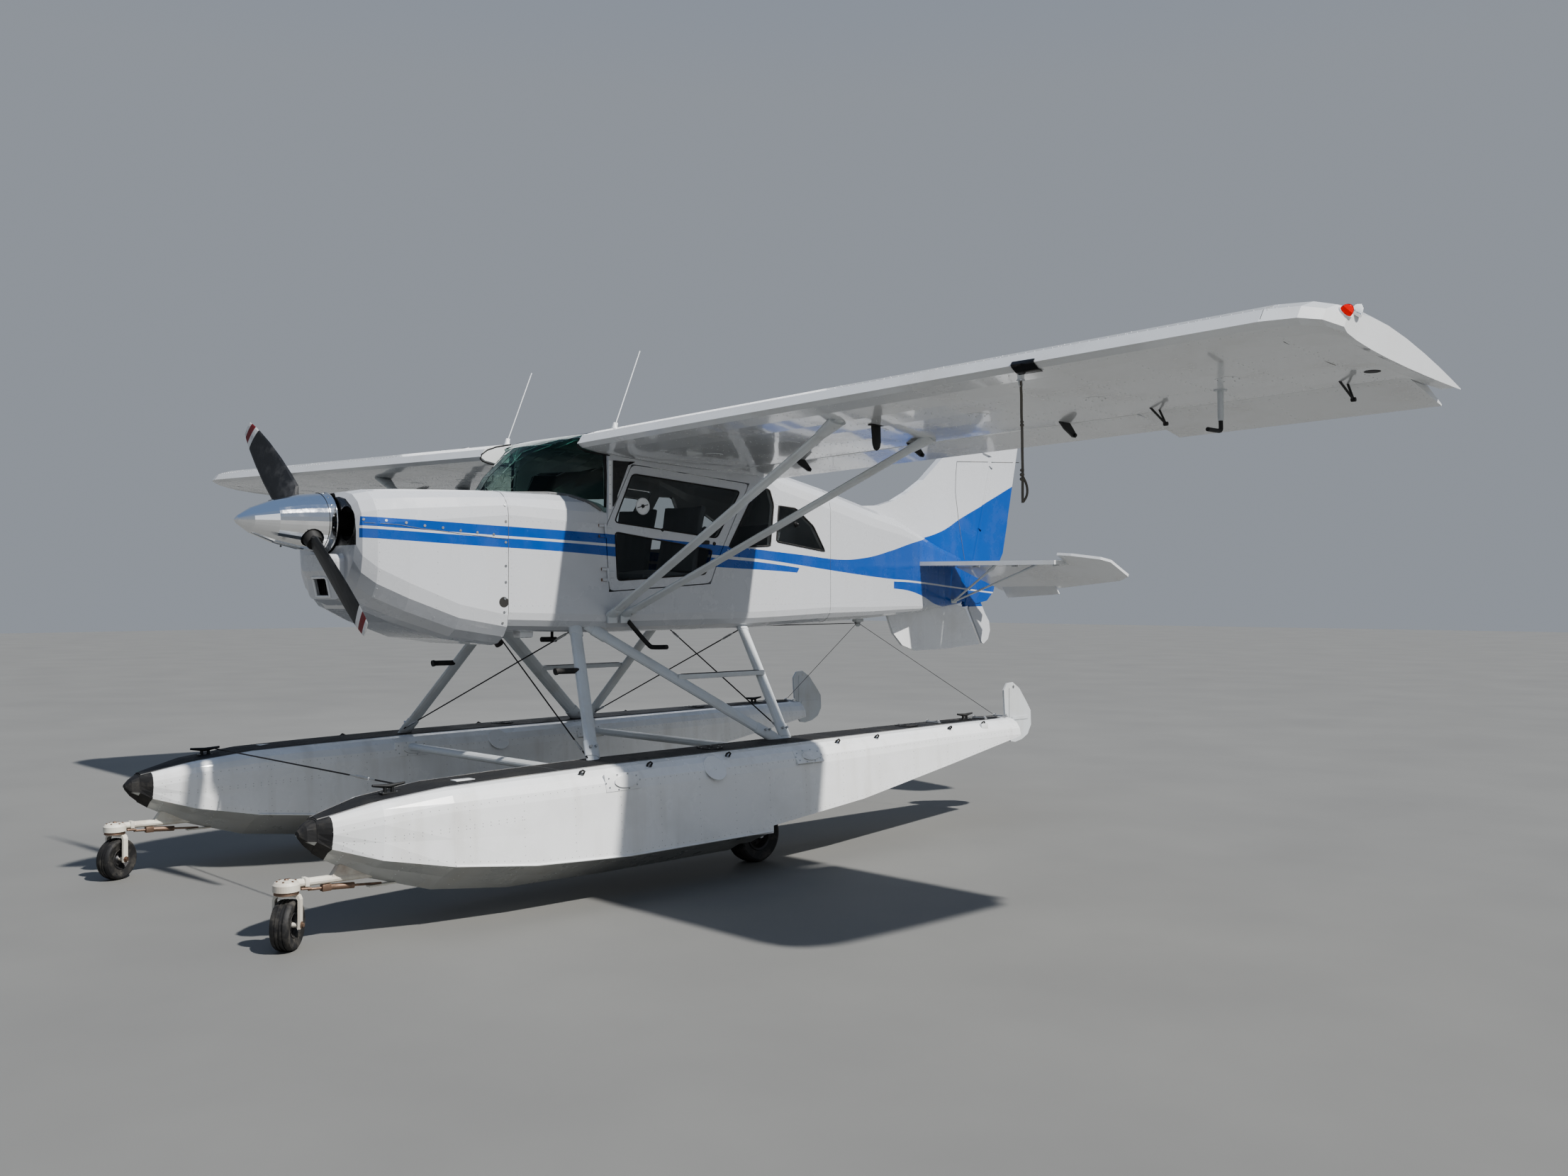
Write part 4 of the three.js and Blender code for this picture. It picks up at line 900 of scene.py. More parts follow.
def makeShieldTrim(c):
    tree = surfaceOf("cabin_shell")
    base = []
    for k in range(c["steps"] + 1):
        x = (2 * k / c["steps"] - 1) * c["reach"]
        station = c["front"] + (c["side"] - c["front"]) * (x / c["half"]) ** 2 - 0.010
        base.append(fromAbove(tree, x, station, 3))
    base = lifted([hit for hit in found(base) if hit[0].z < c["below"]], 0.003)
    lines("shieldBase", [base], c["lower"], "sealantAndShade")
    front = [p + Vector((0, -0.020, 0)) for p in base]
    hits = found([drop(tree, p + skyward, groundward) for p in spaced(front, 0.055)])
    radius, height = c["screw"]
    rivetPiece("shieldScrews", [hit for hit in hits if hit[0].z < c["below"]], "steel", radius=radius,
               height=height)
    bm = bmesh.new()
    screws, seals, panes = [], [], bmesh.new()
    inner, outer = c["postFaces"]
    (y0, z0), (y1, z1), (y2, z2) = c["pane"]

    def onPane(u, w):
        return at(0, y2 + w * ((y0 + y1) / 2 - y2) + u * (0.003 + w * (y1 - y0) / 2),
                  z2 + w * ((z0 + z1) / 2 - z2))

    for _, sign in sides:
        route = sideRoute(tree, sign, c["post"], 0.0, 0.03)
        for a, b in zip(route, route[1:]):
            addBlock(bm, (sign * inner, a.y - c["postHalf"], a.z), (sign * outer, a.y + c["postHalf"], b.z))
        screws += [(Vector((sign * 0.5412, p.y, p.z)), Vector((sign, 0, 0))) for p in route[1::2]]
        seals.append([at(sign * outer, s, z) for s, z in c["cuff"]])
        drape(panes, tree, (-sign, 0, 0), onPane, 4, 12, 0.0022)  # dark pane between post and door
    finishPiece("shieldPosts", bm, "white")
    rivetPiece("postScrews", screws, "steel", radius=radius, height=height)
    edges = [[at(x * share, c["edgeStation"], z) for z, share in c["edgeHeights"]]
             for x in (-c["reach"], c["reach"])]
    lines("shieldEdges", edges, 0.009, "rubber")
    lines("rootSeals", seals, 0.005, "rubber")
    finishPiece("frontPanes", panes, "darkGlass")


makeShieldTrim(shieldSetup)

windowSetup = {
    "rear_window": [(3.560, 2.395), (3.300, 1.985), (3.700, 2.010), (3.735, 2.290), (3.690, 2.395)],
    "quarter_window": [(3.800, 2.285), (3.775, 2.040), (4.330, 1.985), (4.190, 2.160), (3.990, 2.275)],
    "bead": 0.006, "beadOut": 0.004, "screwsOut": 0.030, "screwPitch": 0.05, "knob": (3.994, 2.166),
}


def grown(points, by):  # an outline pushed out from its middle
    my, mz = sum(p[0] for p in points) / len(points), sum(p[1] for p in points) / len(points)
    out = []
    for y, z in points:
        reach = math.hypot(y - my, z - mz)
        out.append((my + (y - my) * (1 + by / reach), mz + (z - mz) * (1 + by / reach)))
    return out


def looped(points):  # an outline that comes back to its first point
    return points + points[:1]


def makeWindowTrim(c):
    panes = ("rear_window", "quarter_window")
    tree = surfaceOf("cabin_shell", *(f"{name}_{side}" for name in panes for side, _ in sides))
    beads, screws, knobs = [], [], bmesh.new()
    for _, sign in sides:
        for name in panes:
            beads.append(sideRoute(tree, sign, looped(grown(c[name], c["beadOut"])), 0.001, 0.03)[:-1])
            screws += sideHits(tree, sign, looped(grown(c[name], c["screwsOut"])), c["screwPitch"])
        hit = onSide(tree, sign, *c["knob"])
        discOn(knobs, hit, -0.002, 0.022, 0.012, 20, 0.016)
        addDome(knobs, hit[0] + hit[1] * 0.010, hit[1], 0.012, 0.012)
    lines("windowBeads", beads, c["bead"], "rubber", closed=True)
    rivetPiece("windowScrews", screws, "white", radius=0.0045, height=0.002)
    finishPiece("windowKnobs", knobs, "blackTrim")


makeWindowTrim(windowSetup)

# Doors: frame and two panes, in place of the plain leaf. Their front edge, which carries the hinges, leans.
doorSetup = {
    "outline": [(2.471, 2.485), (2.2645, 2.080), (2.294, 1.688), (3.130, 1.742), (3.229, 1.961),
                (3.482, 2.421)],
    "upper": [(2.474, 2.428), (2.330, 2.118), (3.190, 2.044), (3.402, 2.368)],
    "lower": [(2.336, 2.056), (2.354, 1.754), (3.088, 1.800), (3.150, 1.962)],
    "out": 0.5402, "thick": 0.030, "glassIn": 0.008, "hinges": [1.790, 2.060], "hingeHalf": 0.022,
    "vent": (2.560, 2.228), "ventRadius": 0.055, "button": ((2.719, 2.082), 0.011),
    "lock": ((3.166, 2.005), 0.013),
    "handle": (3.06, 2.012), "handleSize": (0.014, 0.055, 0.013), "edgeRivets": (0.018, 0.06, 0.0036, 0.0016),
}


def hingeStation(z):
    return 2.284 - (z - 1.682) * 34 / 446


def rounded(points, radius):  # outline with its corners rounded
    out = []
    count, steps = len(points), 3
    for k in range(count):
        before, here, after = (Vector(points[(k + d) % count]) for d in (-1, 0, 1))
        a = here + (before - here).normalized() * radius
        b = here + (after - here).normalized() * radius
        for n in range(steps + 1):
            t = n / steps
            out.append(tuple(a * (1 - t) ** 2 + here * 2 * t * (1 - t) + b * t ** 2))
    return out


def addSheet(bm, outlines, sign, x, thick):  # an outline with holes, filled and given thickness inwards
    loops = []
    for outline in outlines:
        verts = [bm.verts.new(at(sign * x, s, z)) for s, z in outline]
        loops += [bm.edges.new(pair) for pair in zip(verts, verts[1:] + verts[:1])]
    made = bmesh.ops.triangle_fill(bm, use_beauty=True, use_dissolve=True, edges=loops)
    faces = [f for f in made["geom"] if isinstance(f, bmesh.types.BMFace)]
    pushed = bmesh.ops.extrude_face_region(bm, geom=faces, use_keep_orig=True)
    moved = [v for v in pushed["geom"] if isinstance(v, bmesh.types.BMVert)]
    bmesh.ops.translate(bm, verts=moved, vec=(-sign * thick, 0, 0))


def makeDoor(side, sign, c):
    body, outwards, half = f"door_{side}_unit", Vector((sign, 0, 0)), c["hingeHalf"]
    bm = bmesh.new()
    holes = [rounded(c["upper"], 0.030), rounded(c["lower"], 0.025)]
    addSheet(bm, [rounded(c["outline"], 0.035)] + holes, sign, c["out"], c["thick"])
    for z in c["hinges"]:  # hinge sleeves
        a, b = (at(sign * 0.550, hingeStation(h), h) for h in (z - half, z + half))
        addRod(bm, a, b, 0.008, 14)
        addBlock(bm, (sign * 0.538, a.y + 0.004, z - 0.020), (sign * 0.5455, a.y + 0.052, z + 0.020), 0.002)
    leaf = finishPiece(f"doorFrame_{side}", bm, "livery", body)
    bm = bmesh.new()
    for hole in (c["upper"], c["lower"]):
        addSheet(bm, [rounded(grown(hole, 0.006), 0.03)], sign, c["out"] - c["glassIn"], 0.005)
    glass = finishPiece(f"doorGlass_{side}", bm, "window", body)
    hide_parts(f"door_{side}")
    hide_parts(f"door_{side}")
    seals = [[at(sign * (c["out"] + 0.0005), s, z) for s, z in hole] for hole in holes]
    lines(f"doorSeals_{side}", seals, 0.0045, "rubber", body, closed=True)
    bm = bmesh.new()
    inset, pitch, radius, height = c["edgeRivets"]
    for p in spaced([at(sign * 0.5405, s, z) for s, z in looped(grown(c["outline"], -inset))], pitch):
        addRivet(bm, (p, outwards), radius, height)
    finishPiece(f"doorRivets_{side}", bm, "livery", body, smooth=30)
    bm = bmesh.new()
    spot, r = at(sign * (c["out"] - c["glassIn"]), *c["vent"]), c["ventRadius"]
    spun(bm, [(r - 0.008, 0), (r, 0), (r, 0.006), (r - 0.004, 0.010), (r - 0.008, 0.006)], spot, outwards, 36,
         True)
    addDisc(bm, spot, outwards, r - 0.006, 0.003, 32)
    finishPiece(f"doorVent_{side}", bm, "white", body)
    bm = bmesh.new()
    addDisc(bm, spot, outwards, 0.012, 0.012, 16, 0.009)
    for k, share in enumerate((1, 0.3, 0.3)):  # the vent's bar, and its short knob
        angle = math.radians(60 * k + 15)
        arm = Vector((0, math.cos(angle), math.sin(angle))) * (r - 0.012) * share
        addRod(bm, spot - arm + outwards * 0.003, spot + arm + outwards * 0.003, 0.0025, 6)
    for place, size in (c["button"], c["lock"]):
        addDisc(bm, at(sign * c["out"], *place), outwards, size, 0.006, 18, size * 0.8)
    handle, (out, along, up) = at(sign * c["out"], *c["handle"]), c["handleSize"]
    addBlock(bm, handle + Vector((0, -along, -up)), handle + Vector((sign * out, along, up)), 0.005)
    finishPiece(f"doorFittings_{side}", bm, "blackTrim", body)


def makeHingeStraps(c):
    bm = bmesh.new()
    for _, sign in sides:
        for z in c["hinges"]:
            station = hingeStation(z)
            for high in (z - 0.033, z + 0.033):
                addBlock(bm, at(sign * 0.539, station - 0.050, high - 0.009),
                         at(sign * 0.546, station - 0.006, high + 0.009), 0.002)
                addDisc(bm, at(sign * 0.545, station - 0.034, high), (sign, 0, 0), 0.005, 0.004, 8)
    finishPiece("hingeStraps", bm, "exhaust")


for side, sign in sides:
    makeDoor(side, sign, doorSetup)
makeHingeStraps(doorSetup)
print("windshield, windows and doors detailed")

# Inside the cabin: padded seats and the panel's dials
seatSetup = {
    "front": [(0.05, 0.46), (-0.46, -0.05)], "bench": (-0.43, 0.43), "cushion": (1.722, 1.832, 0.47),
    "back": (1.80, 0.395), "base": (1.475, 0.06, 0.42), "crown": 0.024, "pull": 0.016, "cuts": 11,
    "hem": 0.010, "corner": 0.10, "seamWidth": 0.045, "seamDepth": 0.007, "smooth": 0.3,
}


def makePad(name, low, high, c, lean=0.0, channels=3):  # crowned pad whose sides pull in between its corners
    size, middle = high - low, (low + high) / 2
    bm = bmesh.new()
    bmesh.ops.create_cube(bm, size=2)
    bmesh.ops.subdivide_edges(bm, edges=bm.edges[:], cuts=c["cuts"], use_grid_fill=True)
    flat = min(range(3), key=lambda k: size[k])
    first, second = (k for k in range(3) if k != flat)
    channelPlaces = [2 * (k + 1) / (channels + 1) - 1 for k in range(channels)]
    for v in bm.verts:
        u, w, n = v.co[first], v.co[second], v.co[flat]
        dome = (1 - u * u) * (1 - w * w)
        hem = c["hem"] * (1 - n * n) - c["hem"]
        thinner = 1 - c["corner"] * (u ** 6 + w ** 6) * abs(n)
        pull = c["pull"] * (0.35 + 0.65 * abs(n))
        seam = sum(math.exp(-((u - place) / c["seamWidth"]) ** 2) for place in channelPlaces)
        spot = Vector((0, 0, 0))
        spot[first] = u * (size[first] / 2 - pull * (1 - w * w) + hem)
        spot[second] = w * (size[second] / 2 - pull * (1 - u * u) + hem)
        sunk = c["crown"] * (1 - dome) + c["seamDepth"] * seam * dome
        spot[flat] = n * (size[flat] / 2 * thinner - sunk * abs(n))
        v.co = middle + spot
    bmesh.ops.smooth_vert(bm, verts=bm.verts[:], factor=c["smooth"], use_axis_x=True, use_axis_y=True,
                          use_axis_z=True)
    if lean:
        pivot = Matrix.Translation((middle.x, high.y, low.z))
        bmesh.ops.transform(bm, matrix=pivot @ Matrix.Rotation(-lean, 4, "X") @ pivot.inverted(),
                            verts=bm.verts)
    pad = finishPiece(name, bm, "cloth", smooth=60)
    return pad


def makeSeat(names, span, s, top, depth, lean, channels, bases, c):
    (x0, x1), (low, high, deep), (backLow, backFrom) = span, c["cushion"], c["back"]
    cushion = makePad(names[0], at(x0, s, low), at(x1, s + deep, high), c, channels=channels)
    makePad(names[1], at(x0 + 0.01, s + backFrom, backLow), at(x1 - 0.01, s + depth, top), c,
            math.radians(lean), channels)
    foot, baseFrom, baseTo = c["base"]
    addBlock(bases, at(x0 + 0.05, s + baseFrom, foot), at(x1 - 0.05, s + baseTo, low), 0.01)
    return cushion


def makeSeats(c):
    bases = bmesh.new()
    cushions = [makeSeat((f"frontCushion_{k}", f"frontBack_{k}"), span, 2.62, 2.262, 0.50, 11, 3, bases, c)
                for k, span in enumerate(c["front"])]
    finishPiece("frontSeatBases", bases, "blackTrim")
    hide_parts("front_seats")
    bases = bmesh.new()
    bench = makeSeat(("benchCushion", "benchBack"), c["bench"], 3.40, 2.172, 0.49, 10, 5, bases, c)
    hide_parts("rear_bench")
    finishPiece("benchBase", bases, "blackTrim")


makeSeats(seatSetup)

panelSetup = {
    "face": 2.1725, "knob": (0.008, 0.010, 14),
    "dials": [(-0.36, 2.10, 0.040), (-0.26, 2.10, 0.040), (-0.16, 2.10, 0.040), (-0.36, 2.0, 0.040),
              (-0.16, 2.0, 0.040), (0.02, 2.11, 0.028), (0.10, 2.11, 0.028), (0.02, 2.04, 0.028),
              (0.10, 2.04, 0.028), (0.36, 2.10, 0.036)],
    "radios": [(0.14, 0.30, 2.06, 2.10), (0.14, 0.30, 2.005, 2.045), (0.14, 0.30, 1.955, 1.995)],
}


def makePanel(c):
    aft, face = (0, 1, 0), c["face"]
    dials, faces = bmesh.new(), bmesh.new()
    for x, z, r in c["dials"]:
        spot = at(x, face, z)
        spun(dials, [(r - 0.004, 0), (r + 0.003, 0), (r + 0.002, 0.005), (r - 0.004, 0.006)], spot, aft, 28,
             True)
        addDisc(faces, spot, aft, r - 0.004, 0.0015, 28)
        needle = Matrix.Translation(spot + Vector((0, 0.0015, 0))) @ Matrix.Rotation(7 * x + 11 * z, 4, "Y")
        addBlock(dials, (-0.001, 0, -r * 0.2), (0.001, 0.002, r * 0.75), matrix=needle)
    for x0, x1, z0, z1 in c["radios"]:
        addBlock(faces, at(x0, face - 0.002, z0), at(x1, face + 0.008, z1), 0.002)
        for x in (x0 + 0.012, x1 - 0.012):
            addDisc(dials, at(x, face + 0.008, (z0 + z1) / 2), aft, *c["knob"])
    finishPiece("panelBezels", dials, "steel")
    finishPiece("panelFaces", faces, "panelBlack")


makePanel(panelSetup)
print("cabin furnished")

# Rivets and seams of the fuselage and tail. Hoops: node, station, height of the section's middle
bodySetup = {
    "hoops": [("cabin_shell", 1.575, 1.87), ("cabin_shell", 3.765, 2.0), ("cabin_shell", 4.375, 1.98),
              ("tailcone", 4.425, 1.96), ("tailcone", 4.88, 1.93), ("tailcone", 5.34, 1.91),
              ("tailcone", 5.78, 1.87), ("tailcone", 6.12, 1.83)],
    "seams": [("tailcone", 4.4045, 1.96), ("cabin_shell", 1.5575, 1.87)],
    "rows": [("cabin_shell", [(1.60, 1.60), (4.36, 1.60)]), ("cabin_shell", [(3.52, 1.905), (4.36, 1.905)]),
             ("cabin_shell", [(1.60, 1.905), (2.24, 1.905)]), ("cabin_shell", [(1.60, 2.10), (2.20, 2.10)]),
             ("cabin_shell", [(2.40, 2.545), (3.62, 2.485), (4.36, 2.33)]),
             ("cabin_shell", [(3.16, 1.66), (3.56, 2.42)]),
             ("tailcone", [(4.44, 1.60), (6.10, 1.66)]), ("tailcone", [(4.44, 2.22), (6.10, 1.97)]),
             ("tailcone", [(4.44, 1.91), (6.20, 1.83)])],
    "fin": [[(5.30, 2.30), (6.60, 2.30)], [(5.80, 2.48), (6.66, 2.48)], [(6.20, 2.75), (6.74, 2.75)],
            [(6.52, 1.70), (6.86, 2.86)], [(5.55, 2.36), (6.62, 3.05)]],
    "rudder": [[(6.66, 1.72), (7.00, 1.72)], [(6.80, 2.20), (7.14, 2.12)], [(6.92, 2.55), (7.26, 2.50)],
               [(6.98, 2.85), (7.34, 2.86)], [(6.70, 1.80), (7.02, 2.90)]],
    "ventral_fin": [[(5.62, 1.40), (6.62, 1.42)], [(5.86, 1.24), (6.74, 1.26)]], "pitch": 0.042,
}


def makeBodyRivets(c):
    def sideRows(name, rows, least):  # hits of a row where the skin faces sideways enough
        hits = [hit for _, sign in sides for points in rows
                for hit in sideHits(surfaceOf(name), sign, points, c["pitch"])]
        return [hit for hit in hits if abs(hit[1].x) > least]

    hits = []
    for name, station, middle in c["hoops"]:
        hits += [(p, n) for p, n in hoop(surfaceOf(name), station, middle, 72) if abs(n.y) < 0.9]
    for name, points in c["rows"]:
        hits += sideRows(name, [points], 0.3)
    rivetPiece("bodyRivets", hits, "livery")
    for name, paint, body in (("fin", "livery", "airframe"), ("rudder", "livery", "rudder_unit"),
                              ("ventral_fin", "white", "airframe")):
        rivetPiece(f"{name}Rivets", sideRows(name, c[name], 0.7), paint, body)
    seams = [lifted(hoop(surfaceOf(name), s, middle, 96), 0.0002) for name, s, middle in c["seams"]]
    lines("bodySeams", seams, 0.0014, "sealantAndShade")


makeBodyRivets(bodySetup)

# Wings: rivets, covers, lights, probes, hinge brackets. Pairs are x and station.
wingSetup = {
    "ribs": [0.60, 0.93, 1.26, 1.60, 1.93, 2.26, 2.60, 2.93, 3.26, 3.60, 3.93, 4.26, 4.60, 4.90],
    "from": 2.085, "to": 3.17, "spars": [2.11, 2.48, 2.86, 3.165], "spanFrom": 0.60, "spanTo": 5.0,
    "pitch": 0.046, "flaps": [("flap", 0.66, 3.65), ("aileron", 3.71, 4.98)], "flapSpars": (3.262, 3.58),
    "flapRibs": (3.275, 3.57), "ribSpacing": 0.33,
    "seams": (4.885, 0.575), "seamMiddle": (2.7, 2.62), "seamTo": 3.19,
    "covers": [(1.10, 2.66), (1.76, 2.66), (2.43, 2.66), (3.10, 2.66), (3.76, 2.70), (4.43, 2.70)],
    "coverRadius": 0.058, "coverScrews": 0.046, "caps": (1.22, 2.36), "brackets": [1.35, 2.26, 3.29],
    "bracket": [(3.10, 0.004), (3.190, 0.004), (3.232, -0.032), (3.258, -0.058), (3.250, -0.072),
                (3.228, -0.070), (3.15, -0.034)],
    "links": [3.83, 4.76], "linkFoot": (0.110, -0.064), "plate": (4.95, 2.96), "blade": (2.51, 2.55),
    "bladeOutline": [(-0.034, 0), (0.034, 0), (0.037, -0.09), (0.028, -0.122), (0.008, -0.136),
                     (-0.012, -0.128), (-0.024, -0.10)],
    "mast": (4.29, 2.90), "lens": (3.742, 3.862), "lensArc": (163, 225), "lensMiddle": (2.13, 2.662),
    "lamps": [("tipLamp", (5.12, 2.272, 2.735), 0.026), ("tipStrobe", (5.12, 2.350, 2.735), 0.022)],
    "lug": (3.741, 2.118), "lugRing": (2.600, 0.013), "lugFoot": 2.613,
}


def wingHits(tree, sign, points, step, up):  # hits from below (up) or from above
    hits = []
    for p in spaced([at(x, s, 0) for x, s in points], step):
        place = Vector((sign * p.x, p.y, 1.0 if up else 4.0))
        hits.append(drop(tree, place, skyward if up else groundward))
    return [hit for hit in found(hits) if abs(hit[1].z) > 0.5]


def makeWingRivets(side, sign, c):
    tree = surfaceOf(f"wing_{side}")
    rows = [[(x, c["from"]), (x, c["to"])] for x in c["ribs"]]
    rows += [[(c["spanFrom"], s), (c["spanTo"], s)] for s in c["spars"]]
    for label, up in (("Below", True), ("Above", False)):
        hits = [hit for row in rows for hit in wingHits(tree, sign, row, c["pitch"], up)]
        rivetPiece(f"wingRivets{label}_{side}", hits, "wing")
    for name, x0, x1 in c["flaps"]:
        skin, count = surfaceOf(f"{name}_{side}"), round((x1 - x0) / c["ribSpacing"])
        rows = [[(x0, s), (x1, s)] for s in c["flapSpars"]]
        for k in range(count + 1):
            x = x0 + (x1 - x0) * k / count
            rows.append([(x, s) for s in c["flapRibs"]])
        hits = [hit for up in (True, False) for row in rows
                for hit in wingHits(skin, sign, row, c["pitch"], up)]
        rivetPiece(f"{name}Rivets_{side}", hits, "wing", f"{name}_{side}_unit")
    seams = []
    for x in c["seams"]:
        loop = []
        for angle in turns(90) + [2 * math.pi]:
            away = Vector((0, math.cos(angle), math.sin(angle)))
            loop.append(drop(tree, at(sign * x, *c["seamMiddle"]) + away * 2, -away))
        seams.append(lifted([hit for hit in found(loop) if hit[0].y + bowStation < c["seamTo"]], 0.0002))
    lines(f"wingSeams_{side}", seams, 0.0014, "sealantAndShade")


def makeWingFittings(side, sign, c):
    tree = surfaceOf(f"wing_{side}")
    covers, screws = bmesh.new(), []
    for x, s in c["covers"]:
        discOn(covers, fromBelow(tree, sign * x, s), -0.001, c["coverRadius"], 0.0025, 32,
               c["coverRadius"] - 0.002)
        for k in range(6):
            angle, r = math.radians(60 * k + 20), c["coverScrews"]
            place, normal = fromBelow(tree, sign * x + r * math.cos(angle), s + r * math.sin(angle))
            screws.append((place + normal * 0.0015, normal))
    finishPiece(f"wingCovers_{side}", covers, "wing")
    rivetPiece(f"wingCoverScrews_{side}", screws, "steel", radius=0.0042, height=0.002)
    bm = bmesh.new()
    hit = fromAbove(tree, sign * c["caps"][0], c["caps"][1])
    discOn(bm, hit, -0.002, 0.055, 0.005, 32, 0.052)
    discOn(bm, hit, 0.003, 0.038, 0.012, 28, 0.034)
    addBlock(bm, (-0.028, -0.005, 0.013), (0.028, 0.005, 0.019), 0.002, turnTo(hit[1], hit[0]))
    finishPiece(f"fuelCap_{side}", bm, "steel")
    bm = bmesh.new()
    for x in c["brackets"]:  # hinge arms under the trailing edge
        z = fromBelow(tree, sign * x, 3.135)[0].z
        addPlate(bm, [at(sign * x - 0.006, s, z + h) for s, h in c["bracket"]], 0.012)
        addDisc(bm, at(sign * x - 0.014, 3.240, z - 0.060), (1, 0, 0), 0.009, 0.028, 12)
    for x in c["links"]:  # two rods that meet at the foot of each aileron link
        skin = fromBelow(tree, sign * x, 3.120)[0]
        foot = skin + Vector((0, *c["linkFoot"]))
        for y in (-0.040, 0.045):
            addRod(bm, skin + Vector((0, y, 0.003)), foot, 0.0055, 10)
        addDisc(bm, foot - Vector((0.010, 0, 0)), (1, 0, 0), 0.010, 0.020, 12)
    finishPiece(f"hingeArms_{side}", bm, "blackTrim")
    bm = bmesh.new()
    discOn(bm, fromBelow(tree, sign * c["plate"][0], c["plate"][1]), -0.001, 0.034, 0.0025, 24)
    if sign > 0:  # blade antenna, on the port wing only
        skin = fromBelow(tree, *c["blade"])[0]
        addBlock(bm, skin + Vector((-0.018, -0.045, -0.004)), skin + Vector((0.018, 0.045, 0.002)), 0.002)
        addPlate(bm, [skin + Vector((-0.005, y, z)) for y, z in c["bladeOutline"]], 0.010, 0.003)
    finishPiece(f"underWingFittings_{side}", bm, "blackTrim")
    if sign > 0:
        makeProbe(tree, c)
        makeLandingLens(tree, c)
    base = bmesh.new()
    for name, place, radius in c["lamps"]:
        spot, normal = tree.find_nearest(onPoint(place, sign))[:2]
        discOn(base, (spot, normal), -0.004, radius + 0.006, 0.010, 24, radius + 0.003)
        bm = bmesh.new()
        addDome(bm, spot + normal * 0.005, normal, radius, 0.034, 20, 6)
        paint = "lens" if name == "tipStrobe" else "redLens" if sign > 0 else "greenLens"
        finishPiece(f"{name}_{side}", bm, paint)
    finishPiece(f"tipLampBase_{side}", base, "white")
    bm = bmesh.new()
    (x, s), (z, radius) = c["lug"], c["lugRing"]
    addDisc(bm, at(sign * x, s, c["lugFoot"]), skyward, 0.020, 0.004, 16)
    finishPiece(f"tieLugFoot_{side}", bm, "steel")
    lines(f"tieLugRing_{side}", [circle(at(sign * x, s, z), (1, 0, 0), radius, 24)], 0.0035, "steel",
          closed=True)


def makeProbe(tree, c):  # a mast with a bent tube that points ahead
    skin, normal = fromBelow(tree, *c["mast"])
    mast = [skin + Vector((0, y, z)) for y, z in ((0, 0.01), (0.002, -0.14))]
    tube = [skin + Vector((0, y, z)) for y, z in
            ((0.002, -0.135), (0.004, -0.165), (0.004, -0.185), (-0.026, -0.189), (-0.121, -0.189))]
    lines("probeMast", [mast], 0.014, "strut", rounds=4)
    lines("probeTube", [tube], 0.010, "blackTrim", curved=True, rounds=4)
    bm = bmesh.new()
    addDisc(bm, skin + normal * 0.004, -normal, 0.030, 0.006, 20)
    finishPiece("probeFoot", bm, "strut")


def makeLandingLens(tree, c):  # a sheet bent round the leading edge
    bm = bmesh.new()
    (x0, x1), (first, last) = c["lens"], c["lensArc"]
    for v in bmesh.ops.create_grid(bm, x_segments=6, y_segments=18, size=1)["verts"]:
        angle = math.radians(first + (last - first) * (v.co.y + 1) / 2)
        away = Vector((0, math.cos(angle), math.sin(angle)))
        x = (x0 + x1) / 2 + v.co.x * (x1 - x0) / 2
        place, normal = drop(tree, at(x, *c["lensMiddle"]) + away, -away)
        v.co = place + normal * 0.0025
    faces = bm.faces[:]
    bmesh.ops.recalc_face_normals(bm, faces=faces)
    bmesh.ops.solidify(bm, geom=faces, thickness=0.0035)
    finishPiece("landingLens", bm, "darkGlass")


for side, sign in sides:
    makeWingRivets(side, sign, wingSetup)
    makeWingFittings(side, sign, wingSetup)
print("fuselage, tail and wings detailed")

# Struts: cuffs and fairings at their ends, bracing wires, steps and pegs
def addCuff(bm, a, b, width, depth, start, end, grow, flare=1):  # a sleeve along part of a strut
    a, b = Vector(a), Vector(b)
    low, high = a.lerp(b, start), a.lerp(b, end)
    axis = (b - a).normalized()
    aft = Vector((0, 1, 0))
    long = (aft - axis * axis.dot(aft)).normalized()
    across = axis.cross(long)
    m = Matrix.Translation((low + high) / 2) @ Matrix((across, long, axis)).transposed().to_4x4()
    m = m @ Matrix.Diagonal((width / 2 * grow, depth / 2 * grow, 1, 1))
    made = bmesh.ops.create_cone(bm, cap_ends=True, segments=24, radius1=1, radius2=flare,
                                 depth=(high - low).length, matrix=m)
    edges = {e for v in made["verts"] for e in v.link_edges}
    bevelled(bm, [e for e in edges if abs((e.verts[0].co - e.verts[1].co).normalized().dot(axis)) < 0.5],
             0.004)


